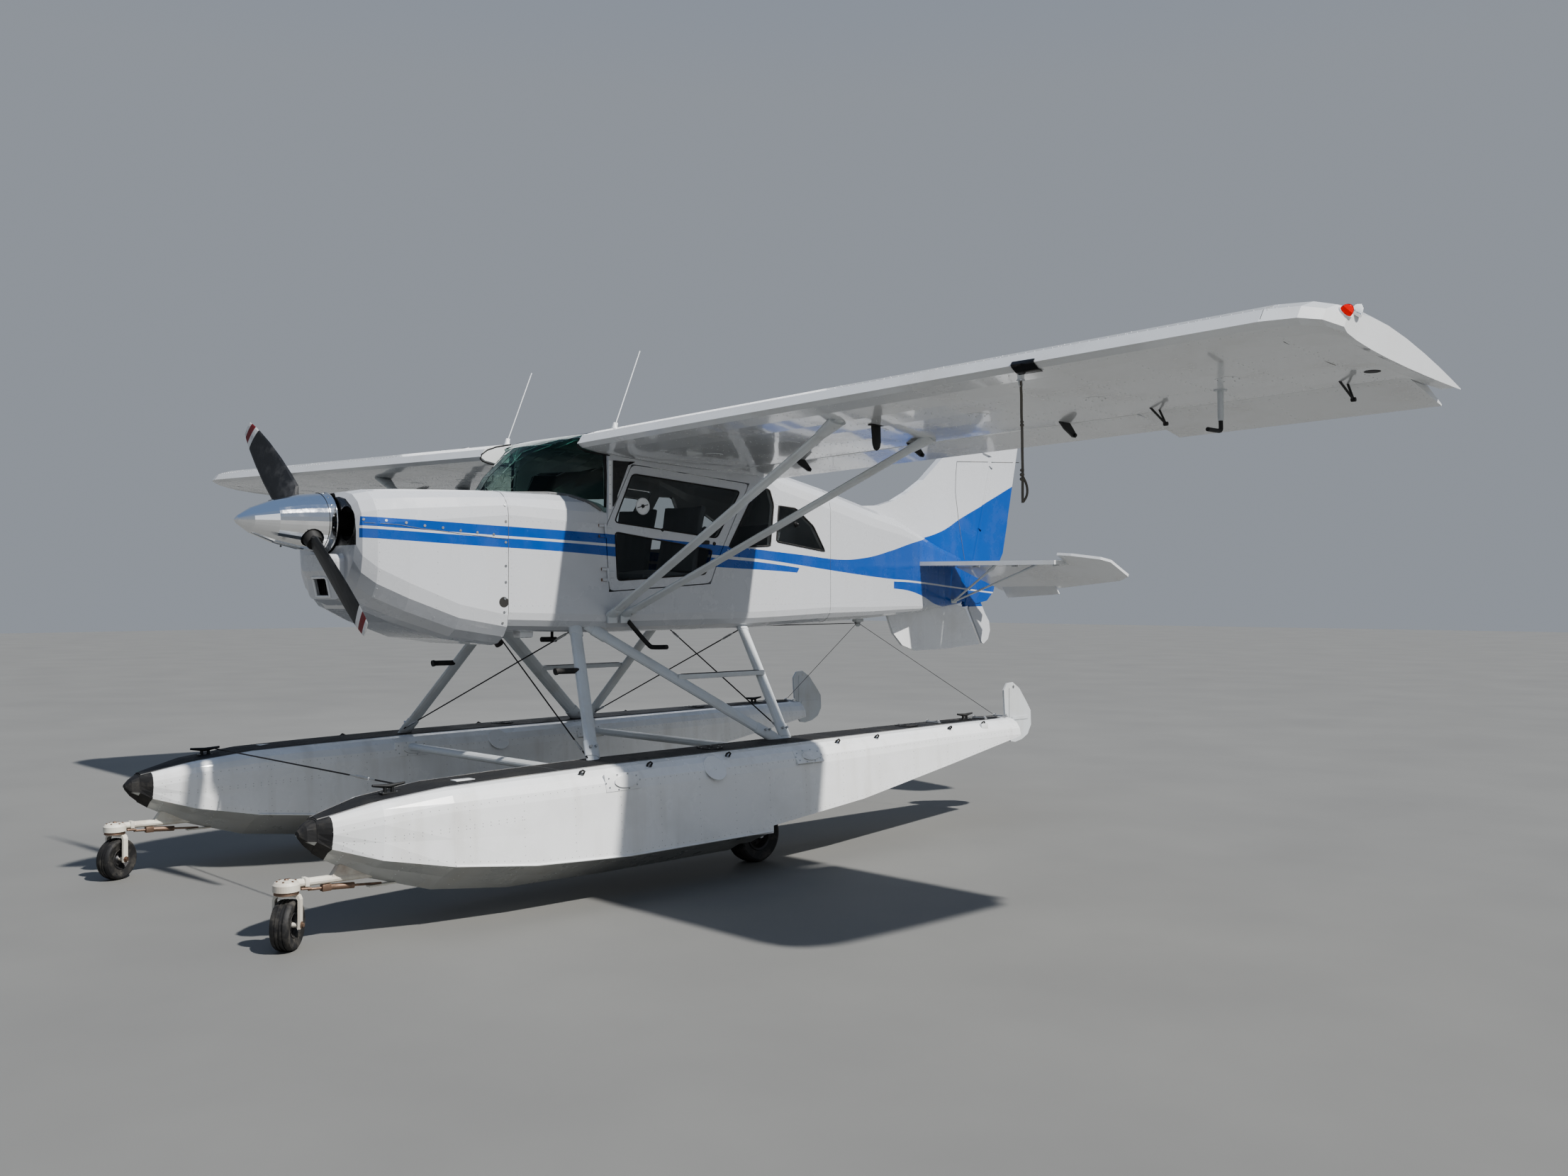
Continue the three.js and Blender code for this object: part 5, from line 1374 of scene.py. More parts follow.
strutSetup = {
    "wing": [((0.532, 2.305, 1.532), (2.529, 2.352, 2.640)), ((0.532, 2.405, 1.532), (2.572, 3.121, 2.610))],
    "wingCuffs": [(0.034, 0.084, 0.006, 0.040, 1.16, 1), (0.034, 0.084, 0.885, 0.945, 1.10, 1.45)],
    "wingBolts": (0.03, 0.93), "plateFaces": (0.536, 0.556), "plateHalf": 0.036,
    "plateHeights": (-0.045, 0.03),
    "float": [((0.470, 2.075, 1.500), (1.082, 1.762, 0.700)), ((0.420, 3.500, 1.500), (1.096, 3.304, 0.700)),
              ((0.480, 2.150, 1.480), (1.089, 3.282, 0.700))],
    "floatCuffs": [(0.040, 0.084, 0.050, 0.150, 1.14), (0.040, 0.084, 0.90, 0.965, 1.14)],
    "wires": [((0.50, 2.075, 1.465), (-1.06, 1.745, 0.745)), ((-0.50, 2.11, 1.455), (1.06, 1.735, 0.745)),
              ((0.42, 3.52, 1.43), (-1.06, 3.33, 0.755)), ((-0.42, 3.56, 1.43), (1.06, 3.325, 0.755))],
    "buckles": (0.06, 0.90), "buckle": 0.045, "bow": [(-1.10, 0.52, 0.722), (1.10, 0.52, 0.722)],
    "step": [(0.765, 2.567, 1.338), (0.65, 2.556, 1.333), (0.615, 2.545, 1.338), (0.55, 2.43, 1.50)],
    "peg": (0.690, 1.94, 1.78, 1.213), "plank": (0.75, 2.66, 3.41, 1.148),
    "noseStep": (0.20, 2.02, 2.13, 1.385),
}


def makeStrutTrim(c):
    cuffs, bolts, plates = bmesh.new(), bmesh.new(), bmesh.new()
    (inner, outer), half, (under, over) = c["plateFaces"], c["plateHalf"], c["plateHeights"]
    for _, sign in sides:
        for foot, head in c["wing"]:
            a, b = onPoint(foot, sign), onPoint(head, sign)
            for sizes in c["wingCuffs"]:
                addCuff(cuffs, a, b, *sizes)
            addBlock(plates, (sign * inner, a.y - half, a.z + under), (sign * outer, a.y + half, a.z + over),
                     0.004)
            for share in c["wingBolts"]:
                addDisc(bolts, a.lerp(b, share) - Vector((0, 0, 0.024)), (sign * 0.3, 0, 1), 0.009, 0.048, 6)
        for head, foot in c["float"]:
            a, b = onPoint(foot, sign), onPoint(head, sign)
            for sizes in c["floatCuffs"]:
                addCuff(cuffs, a, b, *sizes)
            for shift in (-0.018, 0.018):
                spot = a.lerp(b, 0.10) + Vector((-sign * 0.030, shift, 0.004))
                addDisc(bolts, spot, (sign, 0, 0.4), 0.008, 0.062, 6)
    finishPiece("strutCuffs", cuffs, "strut")
    finishPiece("strutBolts", bolts, "steel")
    finishPiece("strutPlates", plates, "strut")


def makeWires(c):
    routes, buckles = [[onPoint(a), onPoint(b)] for a, b in c["wires"] + [c["bow"]]], bmesh.new()
    for a, b in routes[:-1]:
        for share in c["buckles"]:
            low, high = a.lerp(b, share), a.lerp(b, share + c["buckle"])
            addRod(buckles, low, high, 0.0075, 10)
            addRod(buckles, low.lerp(high, -0.3), low, 0.0045, 8)
            addRod(buckles, high, high.lerp(low, -0.3), 0.0045, 8)
    a, b = routes[-1]  # the wire between the bows has one turnbuckle
    addRod(buckles, a.lerp(b, 0.82), a.lerp(b, 0.88), 0.0085, 10)
    addRod(buckles, a.lerp(b, 0.79), a.lerp(b, 0.91), 0.0045, 8)
    lines("bracingWires", routes, 0.0042, "cable")
    finishPiece("turnbuckles", buckles, "steel")


def makeSteps(c):
    lines("boardingSteps", [[onPoint(p) for p in c["step"]]], 0.0145, "rubber",
          curved=True, rounds=4)
    pegs, planks, treads = bmesh.new(), bmesh.new(), bmesh.new()
    for _, sign in sides:
        x, s0, s1, z = c["peg"]
        addRod(pegs, at(sign * x, s0, z), at(sign * x, s1, z + 0.002), 0.017, 20)
        addRod(pegs, at(sign * x, s1 - 0.003, z), at(sign * x, s1 + 0.010, z + 0.002), 0.021, 20)
        x, s0, s1, z = c["plank"]
        addBlock(planks, at(sign * x - 0.025, s0, z - 0.018), at(sign * x + 0.025, s1, z + 0.014), 0.004)
        addBlock(treads, at(sign * x - 0.022, s0 + 0.05, z + 0.013),
                 at(sign * x + 0.022, s1 - 0.05, z + 0.016), 0.001)
    x, s0, s1, z = c["noseStep"]
    addRod(pegs, at(x, s0, z + 0.001), at(x, s1, z - 0.001), 0.016, 16)
    addRod(pegs, at(x, s1 - 0.03, z), at(x, s1 - 0.03, 1.45), 0.009, 12)
    finishPiece("footPegs", pegs, "rubber")
    finishPiece("stepPlanks", planks, "strut")
    finishPiece("stepTreads", treads, "deck")


makeStrutTrim(strutSetup)
makeWires(strutSetup)
makeSteps(strutSetup)

# Tail: hinges, rivets, seams, tab, static wick, lamp, strut ends, pulley and cables. The rudder's hinge line
# and its trailing edge lean: station at a height, and the change per metre.
tailSetup = {
    "hingeLine": (6.560, 1.5, 0.297), "trailingEdge": (7.14, 2.04, 0.26 / 1.09), "pitch": 0.042,
    "wingPitch": 0.045,
    "stabHinges": [0.32, 0.72, 1.12], "stabHingeHeights": (1.935, 1.897), "pin": (6.380, 1.941),
    "pinHalf": 0.024, "stabRibs": (0.22, 0.5, 0.8, 1.1), "elevatorRibs": (0.30, 0.62, 0.95, 1.28, 1.45),
    "elevatorSpars": (6.42, 6.60),
    "finHinges": [1.72, 2.24, 2.80], "gapShade": [(1.63, -0.036), (2.87, -0.036), (2.87, -0.0315),
                                              (1.63, -0.0315)],
    "capSeams": [(6.452, 2.819), (7.30, 2.870)], "wick": (7.29, 2.870), "lamp": (0, 7.31, 3.160),
    "finSeam": [(6.452, 2.82), (6.435, 2.70), (6.430, 2.55), (6.475, 2.30), (6.557, 1.97)],
    "fixedTab": (2.04, 2.33),
    "strutFoot": (0.052, 6.369, 1.606), "strutHeads": [(0.644, 6.148, 1.893), (0.919, 6.308, 1.893)],
    "strutCuffs": [(0.016, 0.030, 0.88, 0.985, 1.3), (0.016, 0.030, 0.02, 0.08, 1.3)],
    "pulley": (0, 5.20, 1.452), "wheel": [(0.004, -0.006), (0.024, -0.006), (0.020, 0.0), (0.024, 0.006),
                                          (0.004, 0.006)],
    "cheek": [(-0.03, 0.0), (-0.012, -0.032), (0.012, -0.032), (0.03, 0.0)],
    "cables": [((0.12, 2.6, 1.430), (0.02, 5.20, 1.437)), ((0.02, 5.20, 1.430), (1.10, 5.50, 0.76))],
}


def leaning(line, z):
    station, height, slope = line
    return station + (z - height) * slope


def makeStabilizerTrim(c):
    fittings, pins = bmesh.new(), bmesh.new()
    for _, sign in sides:
        for x in c["stabHinges"]:
            for z in c["stabHingeHeights"]:
                addBlock(fittings, at(sign * x - 0.020, 6.315, z - 0.002),
                         at(sign * x + 0.020, 6.372, z + 0.006), 0.002)
            addRod(pins, at(sign * x - c["pinHalf"], *c["pin"]), at(sign * x + c["pinHalf"], *c["pin"]),
                   0.006, 10)
        a = onPoint(c["strutFoot"], sign)
        addBlock(fittings, a + Vector((-sign * 0.02, -0.035, -0.016)),
                 a + Vector((sign * 0.012, 0.035, 0.02)), 0.004)
        for head in c["strutHeads"]:
            b = onPoint(head, sign)
            for sizes in c["strutCuffs"]:
                addCuff(fittings, a, b, *sizes)
            addDisc(fittings, b + skyward * 0.004, skyward, 0.018, 0.008, 16)
    finishPiece("tailFittings", fittings, "strut")
    finishPiece("elevatorHingePins", pins, "steel")
    rows = [[(0.14, s), (1.5, s)] for s in c["elevatorSpars"]]
    rows += [[(x, 6.43), (x, 6.74)] for x in c["elevatorRibs"]]
    stabRows = [[(x, 5.86 + x * 0.33), (x, 6.34)] for x in c["stabRibs"]] + [[(0.10, 6.33), (1.17, 6.33)]]
    for name, rows, pitch, body in (("elevator", rows, c["wingPitch"], "elevator_unit"),
                                    ("stabilizer", stabRows, c["pitch"], "airframe")):
        hits = [hit for _, sign in sides for up in (True, False) for row in rows
                for hit in wingHits(surfaceOf(name), sign, row, pitch, up)]
        rivetPiece(f"{name}Rivets", hits, "wing", body)


def makeFinTrim(c):
    seams = {"fin": [], "rudder": []}
    for _, sign in sides:
        for name in seams:
            seams[name].append(sideRoute(surfaceOf(name), sign, c["capSeams"], 0.0005, 0.03))
        seams["fin"].append(sideRoute(surfaceOf("fin"), sign, c["finSeam"], 0.0005, 0.03))
    lines("finSeams", seams["fin"], 0.0024, "sealantAndShade")
    lines("rudderSeams", seams["rudder"], 0.0024, "sealantAndShade", "rudder_unit")
    bm = bmesh.new()
    # a dark strip in the gap between fin and rudder: painted shade in the hinge gap
    addPlate(bm, [at(-0.026, leaning(c["hingeLine"], z) + shift, z) for z, shift in c["gapShade"]], 0.052)
    finishPiece("rudderGapShade", bm, "sealantAndShade")
    bm = bmesh.new()
    s, z = c["wick"]
    addRod(bm, at(0, s, z), at(0, s + 0.045, z + 0.003), 0.008, 12)
    addRod(bm, at(0, s + 0.04, z + 0.003), at(0, s + 0.125, z + 0.008), 0.003, 8)
    finishPiece("rudderWick", bm, "blackTrim", "rudder_unit")
    bm = bmesh.new()
    low, high = c["fixedTab"]
    below, above = (leaning(c["trailingEdge"], z) for z in (low, high))
    addPlate(bm, [at(-0.0035, s, z) for s, z in ((below - 0.02, low), (below + 0.028, low + 0.01),
                                                 (above + 0.028, high - 0.01), (above - 0.02, high))], 0.007,
                                                 0.001)
    finishPiece("rudderTab", bm, "livery", "rudder_unit")
    bm = bmesh.new()
    for z in c["finHinges"]:
        for shift in (-0.020, 0.020):
            addDisc(bm, at(0, leaning(c["hingeLine"], z), z + shift), (0, c["hingeLine"][2], 1), 0.015, 0.004,
                    14)
    finishPiece("rudderHingeWashers", bm, "steel", "airframe")
    bm = bmesh.new()
    addDome(bm, onPoint(c["lamp"]), (0, 0.1, 1), 0.022, 0.030, 18, 5)
    finishPiece("tailLamp", bm, "lens", "rudder_unit")


def makeBellyPulley(c):
    bm = bmesh.new()
    spot = onPoint(c["pulley"])
    addBlock(bm, spot + Vector((-0.022, -0.045, -0.004)), spot + Vector((0.022, 0.045, 0.030)), 0.004)
    spun(bm, c["wheel"], spot + Vector((0, 0, -0.020)), (1, 0, 0), 28, True)
    for x in (-0.012, 0.012):
        addPlate(bm, [spot + Vector((x - 0.0015, y, z)) for y, z in c["cheek"]], 0.003)
    finishPiece("bellyPulley", bm, "strut")
    cables = [[onPoint(p, sign) for p in pair] for _, sign in sides for pair in c["cables"]]
    lines("rudderCables", cables, 0.0018, "cable")


makeStabilizerTrim(tailSetup)
makeFinTrim(tailSetup)
makeBellyPulley(tailSetup)

# Feet of the whip antennas and domes on the roof
roofSetup = {"whips": (0.594, 2.290), "dome": (-0.46, 2.43), "vent": (0.0, 3.05)}


def makeRoofTrim(c):
    tree = surfaceOf("cabin_shell", "wing_port", "wing_starboard")
    bm = bmesh.new()
    for _, sign in sides:
        hit = fromAbove(tree, sign * c["whips"][0], c["whips"][1])
        discOn(bm, hit, -0.002, 0.030, 0.006, 24, 0.027)
        addDisc(bm, hit[0] + hit[1] * 0.003, skyward, 0.022, 0.045, 20, 0.008)
    finishPiece("whipFeet", bm, "white")
    bm = bmesh.new()
    hit = fromAbove(tree, *c["dome"])
    discOn(bm, hit, -0.002, 0.052, 0.008, 32, 0.050)
    addDome(bm, hit[0] + hit[1] * 0.005, hit[1], 0.048, 0.020, 28, 5)
    place, normal = fromAbove(tree, *c["vent"])
    addDome(bm, place - normal * 0.002, normal, 0.040, 0.022, 20, 4)
    finishPiece("roofDomes", bm, "white")


makeRoofTrim(roofSetup)
print("struts, tail and roof detailed")

# Floats: deck sheet, seams, rivets, fittings. The tables give a half width or a height at a station.
floatSetup = {
    "x": 1.130, "sheetFrom": 0.078, "sheetTo": 5.50, "sheetCells": (6, 180), "pitch": 0.045, "rail": 0.0065,
    "flat": [(0.07, 0.036), (0.13, 0.058), (0.35, 0.106), (0.70, 0.136), (1.15, 0.142), (1.75, 0.142),
             (2.85, 0.140), (3.70, 0.135), (4.70, 0.112), (5.60, 0.040)],
    "seams": [0.87, 1.40, 1.98, 2.55, 3.02, 3.55, 4.10, 4.65, 5.15],
    "side": [(0.13, 0.545), (0.45, 0.60), (1.083, 0.625), (2.0, 0.64), (2.85, 0.645), (4.2, 0.650),
             (5.5, 0.640)],
    "doubler": [(0.131, 0.493), (1.083, 0.527)], "doublerRow": 0.016,
    "chine": [(0.13, 0.475), (0.35, 0.41), (0.70, 0.345), (1.15, 0.293), (1.75, 0.262), (2.83, 0.260)],
    "afterChine": [(2.87, 0.295), (3.70, 0.362), (4.70, 0.490), (5.56, 0.605)],
    "frames": [0.19, 0.47, 0.78, 1.087, 1.40, 1.70, 1.98, 2.27, 2.55, 2.83, 3.15, 3.50, 3.87, 4.25, 4.65,
               5.05, 5.40],
    "bottomWidth": [(0.1, 0.3), (0.7, 0.9), (2.9, 1.2), (5.6, 0.5)],
    "bottomRows": (-0.20, -0.15, -0.10, -0.05, 0.05, 0.10, 0.15, 0.20),
    "sprayRail": [(0.70, 0.323), (1.15, 0.271), (1.45, 0.255), (1.75, 0.240), (2.3, 0.239), (2.835, 0.238)],
    "covers": [(2.60, 0.0), (4.45, 0.0)], "oval": [(1.738, 0.644), (3.205, 0.658)],
    "sideCover": (2.40, 0.655),
    "patch": (0.87, 0.03), "bolt": (0.0045, 0.003, 8), "cleats": [0.47, 5.12], "lamp": (5.149, 0.70),
    "eyes": [(1.483, 0.700), (1.946, 0.704), (2.546, 0.708), (3.509, 0.712), (3.90, 0.712), (4.72, 0.712),
             (5.15, 0.712)],
    "eye": [(-0.014, -0.004), (-0.016, 0.014), (0, 0.024), (0.016, 0.014), (0.014, -0.004)],
    "stepPlate": [(2.646, 0.262), (2.846, 0.258), (2.846, 0.226), (2.70, 0.232)],
    "pulleys": (4.75, 5.30, 5.56),
    "pulls": [(1, 4.75, 0.745), (0.8, 5.30, 0.748), (0.5, 5.58, 0.742), (0.3, 5.66, 0.715)],
    "pullSpread": 0.05,
}


def deckPoint(tree, sign, c, station, shift):
    return drop(tree, at(sign * (c["x"] + shift), station, 2), groundward)


def hullPoint(tree, sign, c, outer, station, z):  # on the outer (1) or the inner (-1) side of a float
    return drop(tree, at(sign * c["x"] + outer * sign * 0.8, station, z), (-outer * sign, 0, 0))


def makeDeck(side, sign, c, tree):
    start, end, pitch = c["sheetFrom"], c["sheetTo"], c["pitch"]

    def onDeck(u, w):
        station = start + w * (end - start)
        return at(sign * (c["x"] + u * between(c["flat"], station)), station, 1.5)

    def along(k, stations, inset=0.0):  # hits near the port (1) or starboard (-1) edge of the sheet
        return found([deckPoint(tree, sign, c, s, k * (between(c["flat"], s) - inset)) for s in stations])

    bm = bmesh.new()
    drape(bm, tree, groundward, onDeck, *c["sheetCells"], 0.0026)
    finishPiece(f"deckSheet_{side}", bm, "deck")
    edges = [lifted(along(k, [start + n * 0.08 for n in range(65)]), 0.001) for k in (-1, 1)]
    seams = []
    for s in c["seams"]:
        width = between(c["flat"], s)
        seams.append(lifted([deckPoint(tree, sign, c, s, width * u / 4) for u in range(-4, 5)], 0.0022))
    lines(f"deckSealant_{side}", edges, 0.0035, "sealantAndShade")
    lines(f"deckSeams_{side}", seams, 0.0014, "sealantAndShade")
    stations = [start + n * pitch for n in range(1, int((end - start) / pitch))]
    hits = along(-1, stations, 0.018) + along(1, stations, 0.018)
    rivetPiece(f"deckRivets_{side}", [(p + n * 0.0035, n) for p, n in hits], "deck")


def makeHull(side, sign, c, tree):
    hits, rails = [], []
    for outer in (1, -1):  # both sides of the hull
        def row(points, lower=0.0):
            places = spaced([Vector((0, s, z)) for s, z in points], c["pitch"])
            return [hullPoint(tree, sign, c, outer, p.y, p.z - lower) for p in places]

        for key in ("side", "doubler", "chine", "afterChine"):
            hits += row(c[key])
        hits += row(c["doubler"], c["doublerRow"])
        for s in c["frames"]:
            hits += row([(s, between(c["chine"] + c["afterChine"], s) + 0.03),
                         (s, between(c["side"], s) - 0.02)])
        rails.append(lifted(found([hullPoint(tree, sign, c, outer, s, z) for s, z in c["sprayRail"]]), 0.001))
    rivetPiece(f"hullRivets_{side}", [h for h in found(hits) if abs(h[1].x) > 0.35], "rivet")
    hits = []
    for s in c["frames"]:
        width = between(c["bottomWidth"], s)
        hits += [fromBelow(tree, sign * (c["x"] + shift * width), s, -1) for shift in c["bottomRows"]]
    rivetPiece(f"bottomRivets_{side}", [h for h in found(hits) if h[1].z < -0.4], "float")
    lines(f"sprayRails_{side}", rails, c["rail"], "float")


def makeFloatCovers(side, sign, c, tree, bolts):
    covers, plates, ovals = bmesh.new(), bmesh.new(), bmesh.new()
    for s, shift in c["covers"]:
        hit = deckPoint(tree, sign, c, s, shift)
        discOn(covers, hit, 0.001, 0.082, 0.006, 36, 0.080)
        discOn(covers, hit, 0.006, 0.020, 0.005, 20, 0.018)
        for angle in turns(8):
            across = Vector((0.070 * math.cos(angle), 0.070 * math.sin(angle), 0))
            addDisc(bolts, hit[0] + hit[1] * 0.006 + across, hit[1], *c["bolt"])
    finishPiece(f"deckCovers_{side}", covers, "deck")
    patch = deckPoint(tree, sign, c, *c["patch"])[0]
    addBlock(plates, patch + Vector((-0.030, -0.055, 0.001)), patch + Vector((0.030, 0.055, 0.0055)), 0.001)
    for outer in (1, -1):  # round inspection covers in the sides
        hit = hullPoint(tree, sign, c, outer, *c["sideCover"])
        discOn(plates, hit, -0.001, 0.080, 0.0035, 40, 0.078)
        discOn(plates, hit, 0.002, 0.012, 0.004, 16, 0.010)
    finishPiece(f"floatCovers_{side}", plates, "float")
    for s, z in c["oval"]:  # oval plates where the spreader bars enter
        for place, normal in found([hullPoint(tree, sign, c, outer, s, z) for outer in (1, -1)]):
            m = turnTo(normal, place - normal * 0.001, (0, 1, 0))
            addBlock(ovals, (-0.135, -0.048, -0.010), (0.100, 0.048, 0.0035), 0.001, m)
            m = m @ Matrix.Diagonal((0.080, 0.036, 1, 1))
            bmesh.ops.create_cone(ovals, cap_ends=True, segments=36, radius1=1, radius2=0.94, depth=0.022,
                                  matrix=m)
            for angle in turns(10):
                spot = Vector((0.115 * math.cos(angle) - 0.017, 0.042 * math.sin(angle), 0.002))
                addDisc(bolts, turnTo(normal, place, (0, 1, 0)) @ spot, normal, *c["bolt"])
    finishPiece(f"spreaderPlates_{side}", ovals, "float")


def makeMooring(side, sign, c, tree, bolts):  # eyes along the outer edge of the deck, and cleats
    loops, cleats = [], bmesh.new()
    for hit in found([hullPoint(tree, sign, c, 1, s, z) for s, z in c["eyes"]]):
        discOn(bolts, hit, -0.003, 0.016, 0.007, 16)
        m = turnTo(hit[1], hit[0] + hit[1] * 0.004, (0, 1, 0))
        loops.append([m @ Vector((x, 0, z)) for x, z in c["eye"]])
    lines(f"floatEyes_{side}", loops, 0.0055, "blackTrim")
    for s in c["cleats"]:
        base = deckPoint(tree, sign, c, s, 0.0)[0]
        addBlock(cleats, base + Vector((-0.022, -0.045, -0.002)), base + Vector((0.022, 0.045, 0.008)), 0.003)
        for end in (-1, 1):
            addRod(cleats, base + Vector((0, end * 0.020, 0.006)), base + Vector((0, end * 0.020, 0.034)),
                   0.010, 14, 0.009)
            addRod(cleats, base + Vector((0, end * 0.088, 0.046)), base + Vector((0, 0, 0.036)), 0.006, 12,
                   0.012)
            for x in (-0.015, 0.015):
                addDisc(bolts, base + Vector((x, end * 0.036, 0.007)), skyward, 0.004, 0.004, 6)
    finishPiece(f"cleats_{side}", cleats, "blackTrim")


def makeStern(side, sign, c, tree):
    middle, spread = sign * c["x"], c["pullSpread"]
    bm = bmesh.new()
    addPlate(bm, [at(middle + sign * 0.297, s, z) for s, z in c["stepPlate"]], 0.003)
    lamp = hullPoint(tree, sign, c, 1, *c["lamp"])
    if lamp:
        addBlock(bm, lamp[0] + Vector((-0.01, -0.04, -0.02)), lamp[0] + Vector((0.012, 0.04, 0.02)), 0.004)
    finishPiece(f"sternFittings_{side}", bm, "float")
    pulls = [[at(middle + x * share, s, z) for share, s, z in c["pulls"]] for x in (-spread, spread)]
    lines(f"rudderPulls_{side}", pulls, 0.0022, "cable")
    bm = bmesh.new()
    for s in c["pulleys"]:
        place = deckPoint(tree, sign, c, s, 0.0)[0]
        addBlock(bm, place + Vector((-0.060, -0.014, -0.002)), place + Vector((0.060, 0.014, 0.010)), 0.002)
        for x in (-spread, spread):
            addDisc(bm, place + Vector((x - 0.004, 0, 0.012)), (1, 0, 0), 0.010, 0.008, 16)
    finishPiece(f"sternPulleys_{side}", bm, "aluminium")


for side, sign in sides:
    tree, bolts = surfaceOf(f"float_{side}"), bmesh.new()
    makeDeck(side, sign, floatSetup, tree)
    makeHull(side, sign, floatSetup, tree)
    makeFloatCovers(side, sign, floatSetup, tree, bolts)
    makeMooring(side, sign, floatSetup, tree, bolts)
    finishPiece(f"floatBolts_{side}", bolts, "steel")
    makeStern(side, sign, floatSetup, tree)
print("floats detailed")

# Bow bumpers are black: the faces of the hull ahead of the bow's seam, all but those that look down
bumperTo, bumperFacing = 0.125, -0.75
for side, _ in sides:
    hull = nodes[f"float_{side}"].data
    hull.materials.append(paints["rubber"])
    for face in hull.polygons:
        if face.center.y + bowStation < bumperTo and face.normal.z > bumperFacing:
            face.material_index = 1

# Wheels in place of the plain ones, with hubs, and the trim of both gears. Outlines: the shoulder in shares
# of the radius, the tread in grooves' depths, the hub in shares of the rim, each with one of the half width.
wheelSetup = {
    "main": {"radius": 0.170, "half": 0.070, "rim": 0.088, "groove": 0.006, "bolts": 8},
    "nose": {"radius": 0.119, "half": 0.045, "rim": 0.056, "groove": 0.004, "bolts": 5},
    "shoulder": [(0.78, 0.93), (0.86, 1.0), (0.925, 0.95), (0.968, 0.80), (0.990, 0.62), (1, 0.50),
                 (1, 0.46)],
    "tread": [(1, 0.44), (1, 0.36), (0, 0.34), (0, 0.12), (1, 0.10)],
    "hub": [(0.0, 0.52), (0.22, 0.52), (0.28, 0.46), (0.40, 0.30), (0.74, 0.26), (0.86, 0.55), (0.93, 0.74),
            (1.05, 0.82), (1.08, 0.78), (1.04, 0.70), (0.98, 0.60)],
    "turned": {"port": 44, "starboard": 28},
}


def makeWheel(name, centre, axis, size, body, node, c):
    def bothFaces(half):  # an outline and its mirror image
        return [(a, b * h) for a, b in half] + [(a, -b * h) for a, b in reversed(half)]

    r, h, rim, g = size["radius"], size["half"], size["rim"], size["groove"]
    half = [(rim, 0.72)] + [(a * r, b) for a, b in c["shoulder"]]
    half += [(r - g * deep, b) for deep, b in c["tread"]]
    bm = bmesh.new()
    spun(bm, bothFaces(half) + [(rim - 0.004, -0.6 * h), (rim - 0.004, 0.6 * h)], centre, axis, 72, True)
    tyre = finishPiece(f"tyre_{name}", bm, "tyre", body, 30)
    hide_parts(node)
    bm = bmesh.new()
    spun(bm, bothFaces([(a * rim, b) for a, b in c["hub"]]), centre, axis, 56)
    for face in (1, -1):
        out = Vector(axis) * face
        m = turnTo(out, centre)
        for angle in turns(size["bolts"]):
            spot = m @ Vector((0.60 * rim * math.cos(angle), 0.60 * rim * math.sin(angle), 0.27 * h))
            addDisc(bm, spot, out, 0.0055, 0.007, 6)
        addDisc(bm, m @ Vector((0, 0, 0.5 * h)), out, 0.20 * rim, 0.010, 6)
    hub = finishPiece(f"rim_{name}", bm, "engine", body, 30)
    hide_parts(node)


gearSetup = {
    "x": 1.130, "axle": (2.962, 0.170), "swivel": -0.052, "trail": 0.015, "noseHeight": 0.119,
    "cap": (0.0570, 0.0138, 36, 0.0555), "capHeight": 0.2665, "capBolts": 6, "capBoltRing": (0.042, 0.3255),
    "stem": (0.331, 0.338),
    "rods": [((0.055, 0.272), (0.130, 0.268), 0.007, 10), ((0.160, 0.268), (0.285, 0.258), 0.0150, 16),
             ((0.285, 0.258), (0.43, 0.246), 0.006, 10)],
    "links": ((0.010, 0.284), (0.060, 0.280)), "linkShift": 0.021,
    "clevis": (0.016, (0.120, 0.252), (0.165, 0.286)),
    "flaps": [(0.020, (0.36, 0.236), (0.50, 0.244), 0.002), (0.026, (0.03, 0.290), (0.052, 0.331), 0.003)],
    "hubCap": (0.065, 0.020, 0.012, 24, 0.017), "stub": (0.094, 0.074), "brakeLine": 0.084,
}


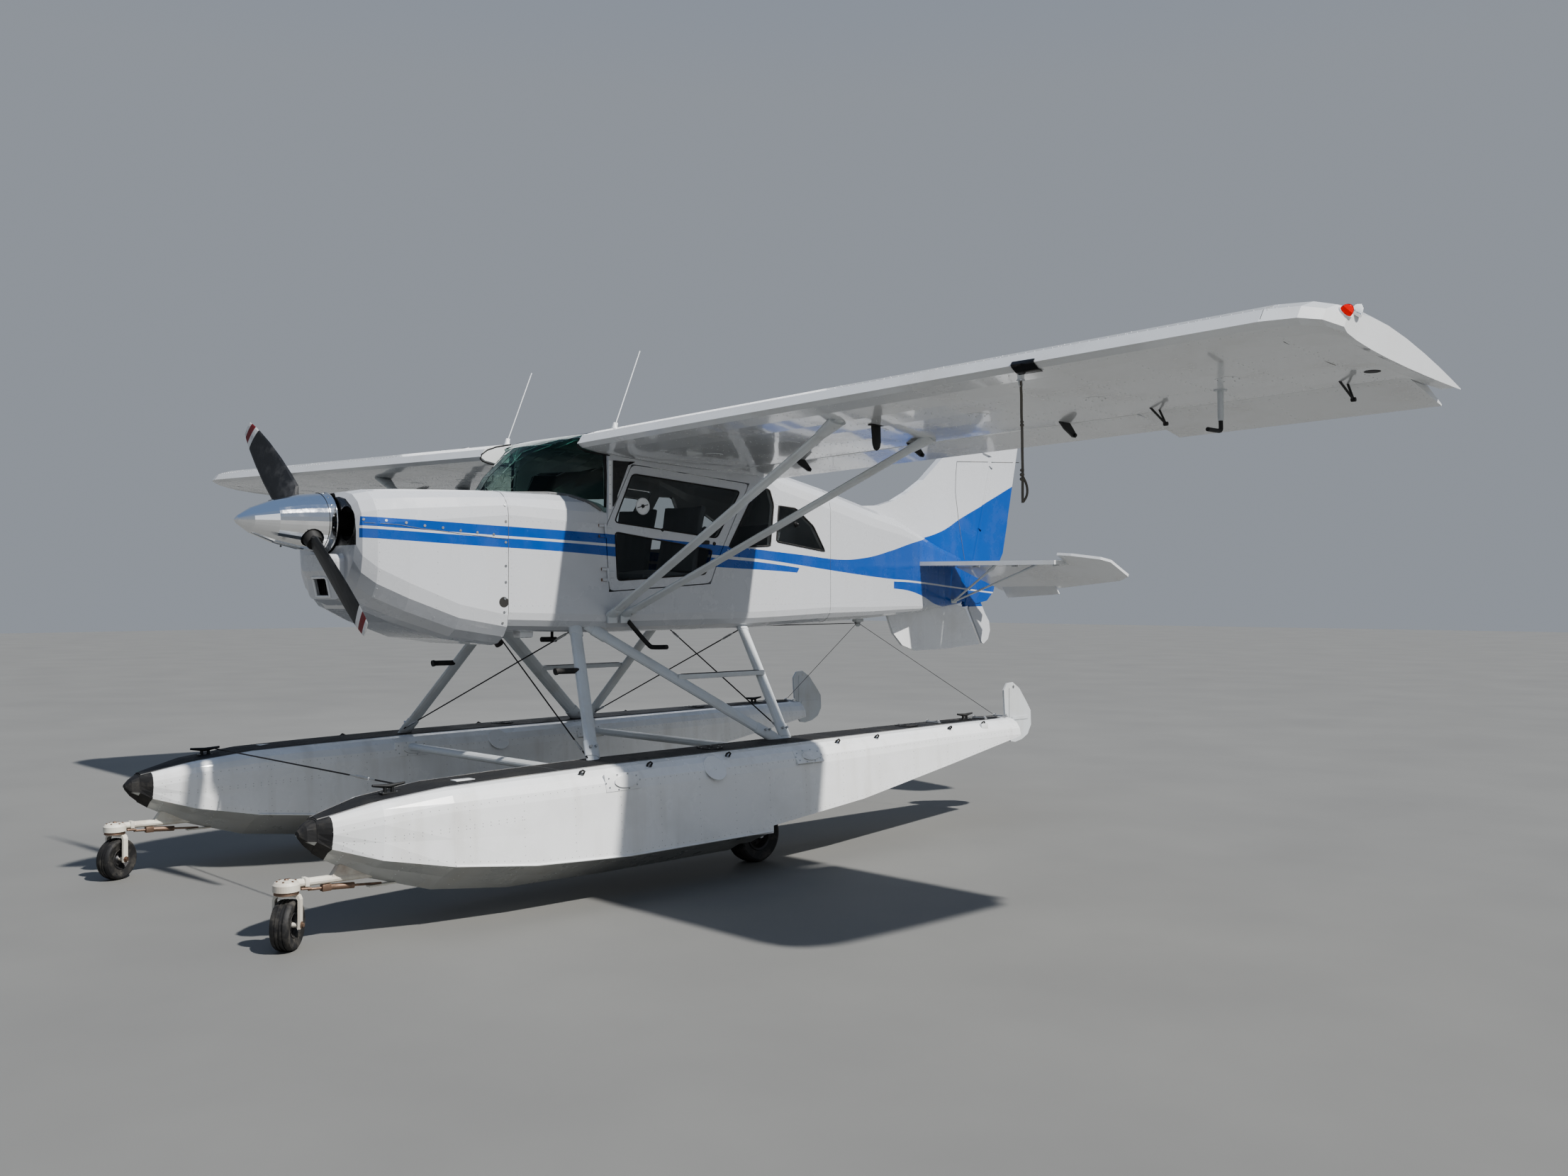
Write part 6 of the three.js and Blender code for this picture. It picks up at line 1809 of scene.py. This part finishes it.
def makeGear(side, sign, c, wheels):
    x = sign * c["x"]
    makeWheel(f"main_{side}", at(x, *c["axle"]), (1, 0, 0), wheels["main"], f"main_wheel_{side}_unit",
              f"main_wheel_{side}", wheels)
    turned = math.radians(wheels["turned"][side])
    across = Vector((math.cos(turned), math.sin(turned), 0))
    behind = Vector((-math.sin(turned), math.cos(turned), 0))
    swivel = at(x, c["swivel"], 0)
    axle = swivel + behind * c["trail"] + Vector((0, 0, c["noseHeight"]))
    makeWheel(f"nose_{side}", axle, across, wheels["nose"], f"nose_wheel_{side}_unit", f"nose_wheel_{side}",
              wheels)
    bm = bmesh.new()
    for k in (1, -1):  # washer and nut at each end of the axle
        addDisc(bm, axle + across * k * 0.0655, across * k, 0.017, 0.004, 20)
        addDisc(bm, axle + across * k * 0.0690, across * k, 0.011, 0.009, 6)
    addDisc(bm, swivel + skyward * c["capHeight"], skyward, *c["cap"])
    finishPiece(f"forkTrim_{side}", bm, "exhaust", f"nose_fork_{side}_unit")
    bm = bmesh.new()
    ring, height = c["capBoltRing"]
    for angle in turns(c["capBolts"], 0.3):
        addDisc(bm, swivel + Vector((ring * math.cos(angle), ring * math.sin(angle), height)), skyward,
                0.0055, 0.006, 6)
    addRod(bm, *(swivel + skyward * height for height in c["stem"]), 0.012, 12, 0.009)
    for a, b, radius, segments in c["rods"]:
        addRod(bm, at(x, *a), at(x, *b), radius, segments)
    half, low, high = c["clevis"]
    addBlock(bm, at(x - half, *low), at(x + half, *high), 0.003)
    for k in (-1, 1):
        a, b = (at(x + k * c["linkShift"], *p) for p in c["links"])
        addRod(bm, a, b, 0.006, 8)
    finishPiece(f"steerLinkage_{side}", bm, "exhaust")
    bm = bmesh.new()
    for half, low, high, bevel in c["flaps"]:
        addBlock(bm, at(x - half, *low), at(x + half, *high), bevel)
    finishPiece(f"gearFlap_{side}", bm, "cream")
    bm = bmesh.new()
    out, *cap = c["hubCap"]
    addDisc(bm, at(x + sign * out, *c["axle"]), (sign, 0, 0), *cap)
    a, b = (at(x - sign * shift, *c["axle"]) for shift in c["stub"])
    addRod(bm, a, b, 0.024, 20)
    line = x - sign * c["brakeLine"]
    addRod(bm, at(line, 2.920, 0.20), at(line, 2.90, 0.40), 0.008, 12)
    finishPiece(f"mainGearTrim_{side}", bm, "strut")


for side, sign in sides:
    makeGear(side, sign, gearSetup, wheelSetup)

rudderSetup = {
    "beads": [((5.665, 0.62), (5.690, 0.95)), ((5.70, 0.70), (5.91, 0.725))], "out": 0.007, "thick": 0.004,
    "eye": (0.0085, 5.72, 0.955), "pivot": (0.0158, 5.690, 0.590),
    "screws": [(0.0155, 5.615, 0.66), (0.0155, 5.625, 0.610)],
}


def makeWaterRudder(side, sign, c, middle):  # beads, eye for the lanyard, pivot bolts
    x, body = sign * middle, f"water_rudder_{side}_unit"
    bm = bmesh.new()
    for k in (1, -1):
        for (s0, z0), (s1, z1) in c["beads"]:
            corners = [(s0, z0), (s0, z1), (s1, z1), (s1, z0)]
            addPlate(bm, [at(x + k * c["out"], s, z) for s, z in corners][::k], c["thick"])
    finishPiece(f"rudderBeads_{side}", bm, "strut", body)
    bm = bmesh.new()
    half, s, z = c["eye"]
    addDisc(bm, at(x - half, s, z), (1, 0, 0), 0.012, 2 * half, 14)
    finishPiece(f"rudderEye_{side}", bm, "steel", body)
    bm = bmesh.new()
    for k in (1, -1):
        out, s, z = c["pivot"]
        addDisc(bm, at(x + k * out, s, z), (k, 0, 0), 0.012, 0.006, 6)
        for out, s, z in c["screws"]:
            addDisc(bm, at(x + k * out, s, z), (k, 0, 0), 0.007, 0.004, 6)
    finishPiece(f"rudderBolts_{side}", bm, "steel")


for side, sign in sides:
    makeWaterRudder(side, sign, rudderSetup, gearSetup["x"])
print("wheels, gear and water rudders detailed")
